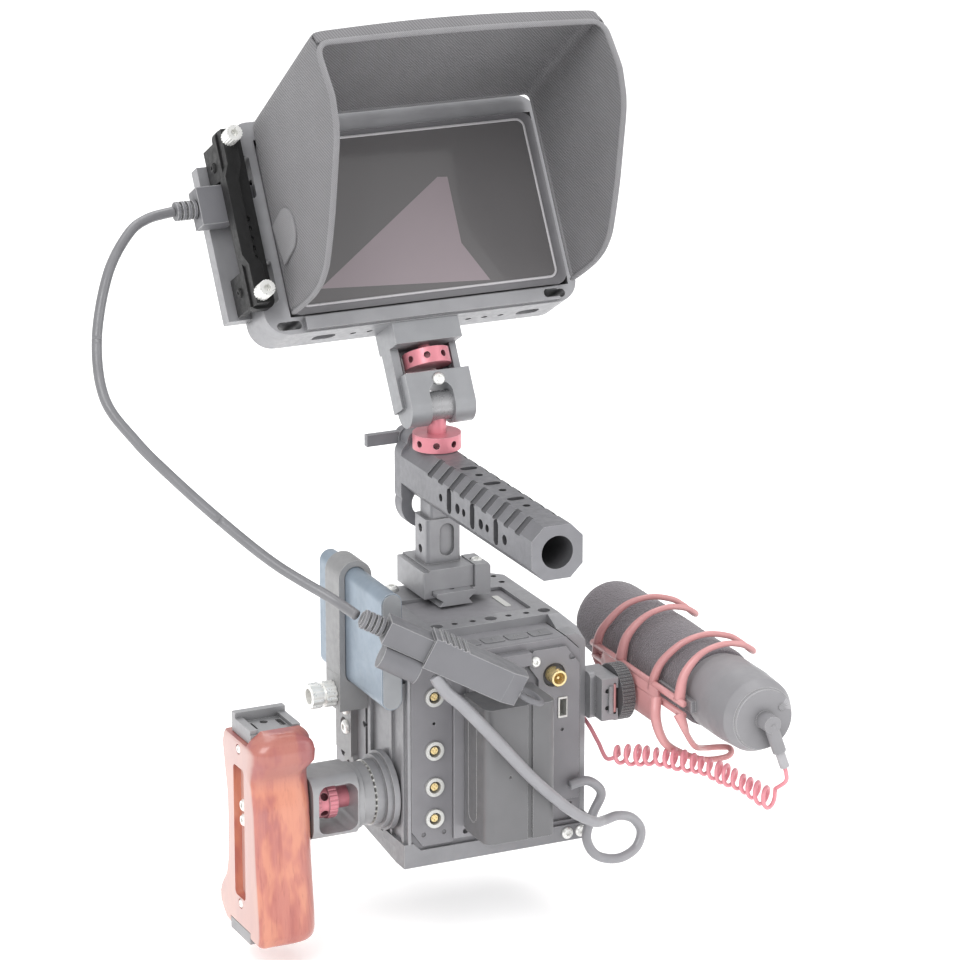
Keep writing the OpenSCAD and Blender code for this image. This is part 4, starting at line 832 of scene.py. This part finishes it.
def grip_cutters():
    """Prisms that cut the groove, the slot, the seats of the shoe and the foot, and two recesses."""
    outer, inner = GRIP_X
    air = outer - 8                           # well outside the grip
    slot = (GRIP_Y, GRIP_SLOT_Z)
    cutters = [
        rounded_prism("cut_groove", (air, outer + 4), slot, (13.4, 68.4), 2.4, "x"),
        rounded_prism("cut_slot", (air, inner + 9), slot, (6.0, 62.4), 2.9, "x"),
        rounded_prism("cut_shoe", (71.7, 90), ((outer + inner) / 2, 10.5), (44, 63.2), 0.5, "z"),
        rounded_prism("cut_foot", (-45, -24.6), (outer + 3, GRIP_Y + 0.5), (12.6, 25.6), 0.5, "z"),
    ]
    for name, z in GRIP_SCREWS_Z:
        cutters.append(rounded_prism("cut_screw_" + name, (air, outer + 3), (GRIP_Y, z), (5.2, 5.2),
                                     2.5, "x"))
    return cutters


def make_grip():
    heights = np.concatenate([np.linspace(GRIP_FOOT, -25, 7), np.linspace(-23, 48, 32),
                              np.linspace(50, GRIP_TOP, 22)])
    sections = [grip_section(z) for z in heights]
    vertices = [Vector(p) * MM for section in sections for p in section]
    grip = piece("wooden_grip_body", vertices, solid_faces(len(sections), len(sections[0])),
                 MATERIALS["wood"])
    cutters = grip_cutters()
    for cutter in cutters:
        modify(grip, "BOOLEAN", object=cutter, operation="DIFFERENCE", solver="EXACT")
    apply_modifiers(grip)
    for cutter in cutters:
        bpy.data.objects.remove(cutter)
    grip.data.set_sharp_from_angle(angle=math.radians(38))
    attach(grip, "grip")
    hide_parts("wooden_grip")
    for name, z in GRIP_SCREWS_Z:
        screw("wooden_grip_screw_" + name, (GRIP_X[0] + 1.2, GRIP_Y, z), (-1, 0, 0), 2.3, 1.6, "grip")


# ---- screws ----

SCREW_SIDES = 36
SCREW_HEAD = [(0, 1), (0.35, 1), (0.7, 0.9), (0.95, 0.68), (1, 0.56)]   # shares of height, radius
SOCKET = 0.45                                 # hexagon socket's corners, share of the radius


def hexagon_reach(angle):
    """Distance to a hexagon's side at an angle, as a share of its corners'."""
    sector = (angle + math.pi / 6) % (math.pi / 3) - math.pi / 6
    return math.cos(math.pi / 6) / math.cos(sector)


def screw(name, place, axis, radius, height, body):
    """Button-head screw with a hexagon socket."""
    axis = Vector(axis).normalized()
    across = square_to(axis)
    side = axis.cross(across)
    angles = [2 * math.pi * k / SCREW_SIDES for k in range(SCREW_SIDES)]
    rings = [(level * height, [share * radius] * SCREW_SIDES) for level, share in SCREW_HEAD]
    socket = [SOCKET * radius * hexagon_reach(angle) for angle in angles]
    rings += [(height, socket), (height * 0.4, socket)]
    vertices = []
    for level, reaches in rings:
        centre = Vector(place) + axis * level
        vertices += [(centre + side * reach * math.cos(angle) + across * reach * math.sin(angle)) * MM
                     for reach, angle in zip(reaches, angles)]
    obj = piece(name, vertices, solid_faces(len(rings), SCREW_SIDES), MATERIALS["bright"], body)
    obj.data.set_sharp_from_angle(angle=math.radians(40))


def make_small_screws():
    screw("arm_arch_screw", arm(0, -9.2, 11.5) / MM, -ARM_IN, 3.2, 1.8, "monitor")
    for name, z in (("upper", 64.6), ("lower", 54.4)):
        screw("bracket_screw_" + name, (-54.1, 26.5, z), (-1, 0, 0), 3.7, 2.0, "camera")


# ---- microphone ----

def make_foam():
    """Foam windshield: a rounded lathe whose skin is pitted and a little uneven."""
    nose = 12                                 # rounding of the front end
    profile = [(-78, 12.0), (-78, 18.6), (-77, 19.8), (-75, FOAM_RADIUS)]
    profile += [(y, FOAM_RADIUS) for y in range(-72, MIC_FRONT - nose, 2)]
    for k in range(1, 13):
        angle = math.radians(90 * k / 12)
        profile.append((MIC_FRONT - nose + nose * math.sin(angle),
                        FOAM_RADIUS - nose + nose * math.cos(angle)))
    profile += [(MIC_FRONT + 0.3, 5.0), (MIC_FRONT + 0.4, 1.0)]
    foam = lathe("foam_windshield", profile, MIC_AXIS, (0, 1, 0), MATERIALS["foam"], 96)
    foam.data.set_sharp_from_angle(angle=math.radians(35))
    modify(foam, "SUBSURF", levels=1, render_levels=2)
    apply_modifiers(foam)
    axis = MIC_AXIS * MM
    for vertex in foam.data.vertices:
        away = vertex.co - axis
        away.y = 0
        if away.length > 6 * MM:
            swell = noise.noise(vertex.co * 60) * 0.35 + noise.noise(vertex.co * 900) * 0.16
            vertex.co += away.normalized() * swell * MM
    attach(foam, "mic")
    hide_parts("mic_windshield")


def around_mic(angle, y, radius=25.4):
    """Point on the suspension's loops, by its angle about the microphone's axis."""
    turn = math.radians(angle)
    return MIC_AXIS + Vector((radius * math.cos(turn), y, radius * math.sin(turn)))


# Hairpin loops of the suspension: angle about the axis, place along it and distance from it
LYRE_LOOPS = {
    "front": [(205, 3), (192, 5), (170, 3), (150, 0), (120, -3), (92, -6), (66, -8), (51, -9.5),
              (44, -12), (41, -15.5), (44, -19.5), (51, -22), (68, -23.5), (92, -24), (120, -23.5),
              (150, -22.5), (178, -22.5)],
    "rear": [(205, -53), (192, -56), (170, -59), (148, -62), (120, -65.5), (93, -68), (66, -69.5),
             (51, -71), (44, -73.5), (41, -77), (44, -80.5), (51, -82.5), (68, -84), (92, -84.5),
             (120, -84), (150, -84.5), (178, -86)],
    "under": [(184, -72, 31), (200, -76, 35), (222, -75, 37), (242, -73, 37), (258, -79, 36.5),
              (270, -86, 33.5), (277, -86, 32), (280, -81, 31.5), (274, -77, 31.5),
              (260, -76, 31.5), (240, -84, 30), (220, -88, 28), (202, -92, 28), (190, -90, 28)],
}


def make_suspension():
    """Springy plastic: loops over and under the microphone, two bars, a web and the foot."""
    for name, loop in LYRE_LOOPS.items():
        path = spline([around_mic(*place) for place in loop], 6)
        last = len(path) - 1
        radii = [1.5 + 1.5 * max(0.0, 1 - 3.5 * k / last, 1 - 7 * (last - k) / last)
                 for k in range(last + 1)]
        tube("lyre_loop_" + name, path, radii, MATERIALS["lyre"], "mic", 14)
    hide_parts("mic_suspension")
    bar_x = MIC_AXIS.x - 26
    for name, z, ends in (("upper", 86, (-92, 8)), ("lower", 80, (-92, 6))):
        tube("lyre_bar_" + name, [(bar_x, ends[0], z), (bar_x, ends[1], z)], 1.7,
                          MATERIALS["lyre"], "mic", 14)
    web = rounded_prism("lyre_web", (bar_x - 1.6, bar_x + 0.4), (-36, 77), (62, 20), 6, "x", "lyre")
    plate = rounded_prism("lyre_foot", (60.1, 61.3), (-34.5, 75), (19, 15.6), 1.5, "x", "lyre")
    for flat_part in (web, plate):
        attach(flat_part, "mic")
    stem = tube("lyre_stem", [(60.5, -34, 75), (bar_x - 0.5, -34, 75)], 2.95, MATERIALS["lyre"],
                "mic", 20)


# ---- cables ----

SIGNAL_PATH = [(-114, 97, 310), (-129, 94, 308.5), (-141, 89, 303), (-156, 78, 287),
               (-167.5, 64, 259), (-170, 48, 234), (-160, 34, 215.5), (-147, 22, 199.5),
               (-129, 4, 180), (-109, -16, 161), (-89, -38, 147.5), (-82, -52, 142.3)]
POWER_PATH = [(-48.5, -69, 112), (-44, -71.5, 104), (-35, -73, 95), (-16, -73, 73),
              (4, -71.5, 50), (25, -68, 30), (41, -61, 19), (50, -54, 15.5), (60, -50, 15),
              (70, -46, 10.5), (75, -46, 3), (71, -48, -5), (60, -50, -8), (49, -48, -5),
              (45, -45, 4), (50, -42, 15), (55, -41, 25), (48, -40, 32), (38, -39.5, 31)]
COIL_TURNS = 18
COIL_START = Vector((104, -127, 43.5))
COIL_END = Vector((55, -56, 50.5))


def coil_point(t):
    """Point on the coiled wire, whose turns are a little uneven."""
    axis = COIL_START.lerp(COIL_END, t) + Vector((6, 4, 4)) * math.sin(math.pi * t)
    angle = 2 * math.pi * COIL_TURNS * (t + 0.004 * math.sin(37 * t))
    reach = 4.3 + 0.5 * math.sin(23 * t)
    return axis + reach * Vector((math.cos(angle) * 0.8, math.cos(angle) * 0.55, -math.sin(angle)))


def make_signal_cable():
    """The cable in three lengths, one across each of the monitor's tilt, its pan and the handle's
    slide; none of them rides a body.
    """
    path = spline(SIGNAL_PATH, 12)
    lengths = [("monitor", "stud", 0, 48), ("stud", "handle", 48, 96),
               ("handle", "camera", 96, len(path) - 1)]
    for first, second, start, end in lengths:
        length = tube(f"signal_cable_{first}_to_{second}", path[start:end + 1], 2.6,
                      MATERIALS["signal_cable"], None, 20)
        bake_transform(length)
        if first == "monitor":
            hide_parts("hdmi_cable")


def make_power_cable():
    """Thicker at the converter, where its strain relief is."""
    path = spline(POWER_PATH, 10)
    radii = [3.3 - 0.9 * smooth(k / len(path) * 2) for k in range(len(path))]
    cable = tube("power_cable_jacket", path, radii, MATERIALS["cable"], "camera", 20)
    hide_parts("power_cable")


def make_mic_cable():
    """Coiled wire that stretches between the microphone and the camera, and its jack."""
    lead_in = spline([(108.7, -132, 61.5), (109.6, -132, 54.5),
                      coil_point(0) + Vector((0.3, 0, 4.5))], 8)
    steps = COIL_TURNS * 28
    coil = [coil_point(k / steps) for k in range(steps + 1)]
    lead_out = spline([coil_point(1) + Vector((0.2, 0, -2.5)), (54, -49, 46), (54.5, -38, 51),
                       (54, -28, 57), (53.4, -19, 60.2), (53.4, -15, 60.2)], 8)
    wire = tube("mic_coil_wire", lead_in + coil + lead_out, 1.05, MATERIALS["coil"], None, 10)
    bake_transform(wire)
    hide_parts("mic_cable")
    jack = [(53.4, -17, 60.2), (53.4, -14.5, 60.2), (53.4, -14, 60.2), (53.4, -2, 60.2),
            (53.0, -0.6, 60.2), (51.6, 0, 60.2), (47, 0, 60.2), (46.6, 0, 60.2), (39, 0, 60.2)]
    radii = [1.4, 1.5, 2.2, 2.2, 2.8, 2.9, 2.9, 1.7, 1.7]
    plug = tube("mic_jack", jack, radii, MATERIALS["plug"], "camera", 20)


# ---- stage ----

CAMERA_AZIMUTH = -25.0                        # degrees, from straight behind the camera body
CAMERA_ELEVATION = 17.5
CAMERA_DISTANCE = 2217.0
CAMERA_TARGET = Vector((7.6, 0.6, 183.0))
CAMERA_LENS = 168.75                          # focal length on a sensor 36 mm wide
FLOOR_Z = -45.0
FLOOR_HALF = 30000
LIGHTS = [("key", (-1.6, -1.4, 2.0), 1.6, 38), ("fill", (1.8, -1.6, 1.0), 1.8, 16),
          ("top", (0.2, 0.8, 2.2), 1.6, 24)]  # place and size in metres, power in watts


def make_floor():
    pale = Shader("pale_floor", (0.93, 0.93, 0.93, 1), 0.9)
    pale.set("Emission Color", (1, 1, 1, 1))
    pale.set("Emission Strength", 0.3)
    corners = [Vector((x, y, FLOOR_Z)) * MM for x, y in
               ((-FLOOR_HALF, -FLOOR_HALF), (FLOOR_HALF, -FLOOR_HALF),
                (FLOOR_HALF, FLOOR_HALF), (-FLOOR_HALF, FLOOR_HALF))]
    piece("floor", corners, [(0, 1, 2, 3)], pale.material)


def make_lights():
    world = bpy.data.worlds.new("studio")
    bpy.context.scene.world = world
    world.use_nodes = True
    background = world.node_tree.nodes["Background"]
    background.inputs["Color"].default_value = (1, 1, 1, 1)
    background.inputs["Strength"].default_value = 0.8
    target = Vector((0, 0, 0.18))
    for name, place, size, power in LIGHTS:
        data = bpy.data.lights.new(name, "AREA")
        data.size = size
        data.energy = power
        light = bpy.data.objects.new(name, data)
        light.location = place
        light.rotation_euler = (target - Vector(place)).to_track_quat("-Z", "Y").to_euler()
        bpy.context.scene.collection.objects.link(light)


def make_camera():
    a, e = math.radians(CAMERA_AZIMUTH), math.radians(CAMERA_ELEVATION)
    back = Vector((math.sin(a) * math.cos(e), -math.cos(a) * math.cos(e), math.sin(e)))
    data = bpy.data.cameras.new("camera")
    data.lens = CAMERA_LENS
    data.sensor_width = 36
    data.clip_end = 50
    camera = bpy.data.objects.new("camera", data)
    camera.location = (CAMERA_TARGET + back * CAMERA_DISTANCE) * MM
    camera.rotation_mode = "QUATERNION"
    camera.rotation_quaternion = (-back).to_track_quat("-Z", "Y")
    bpy.context.scene.collection.objects.link(camera)
    bpy.context.scene.camera = camera
    bpy.context.scene.view_settings.view_transform = "Standard"


dress_cad_nodes()
add_second_looks()
make_hood()
make_hood_tab()
make_glass()
make_top_panel()
make_grip()
make_foam()
make_suspension()
make_small_screws()
make_signal_cable()
make_power_cable()
make_mic_cable()
make_floor()
make_lights()
make_camera()
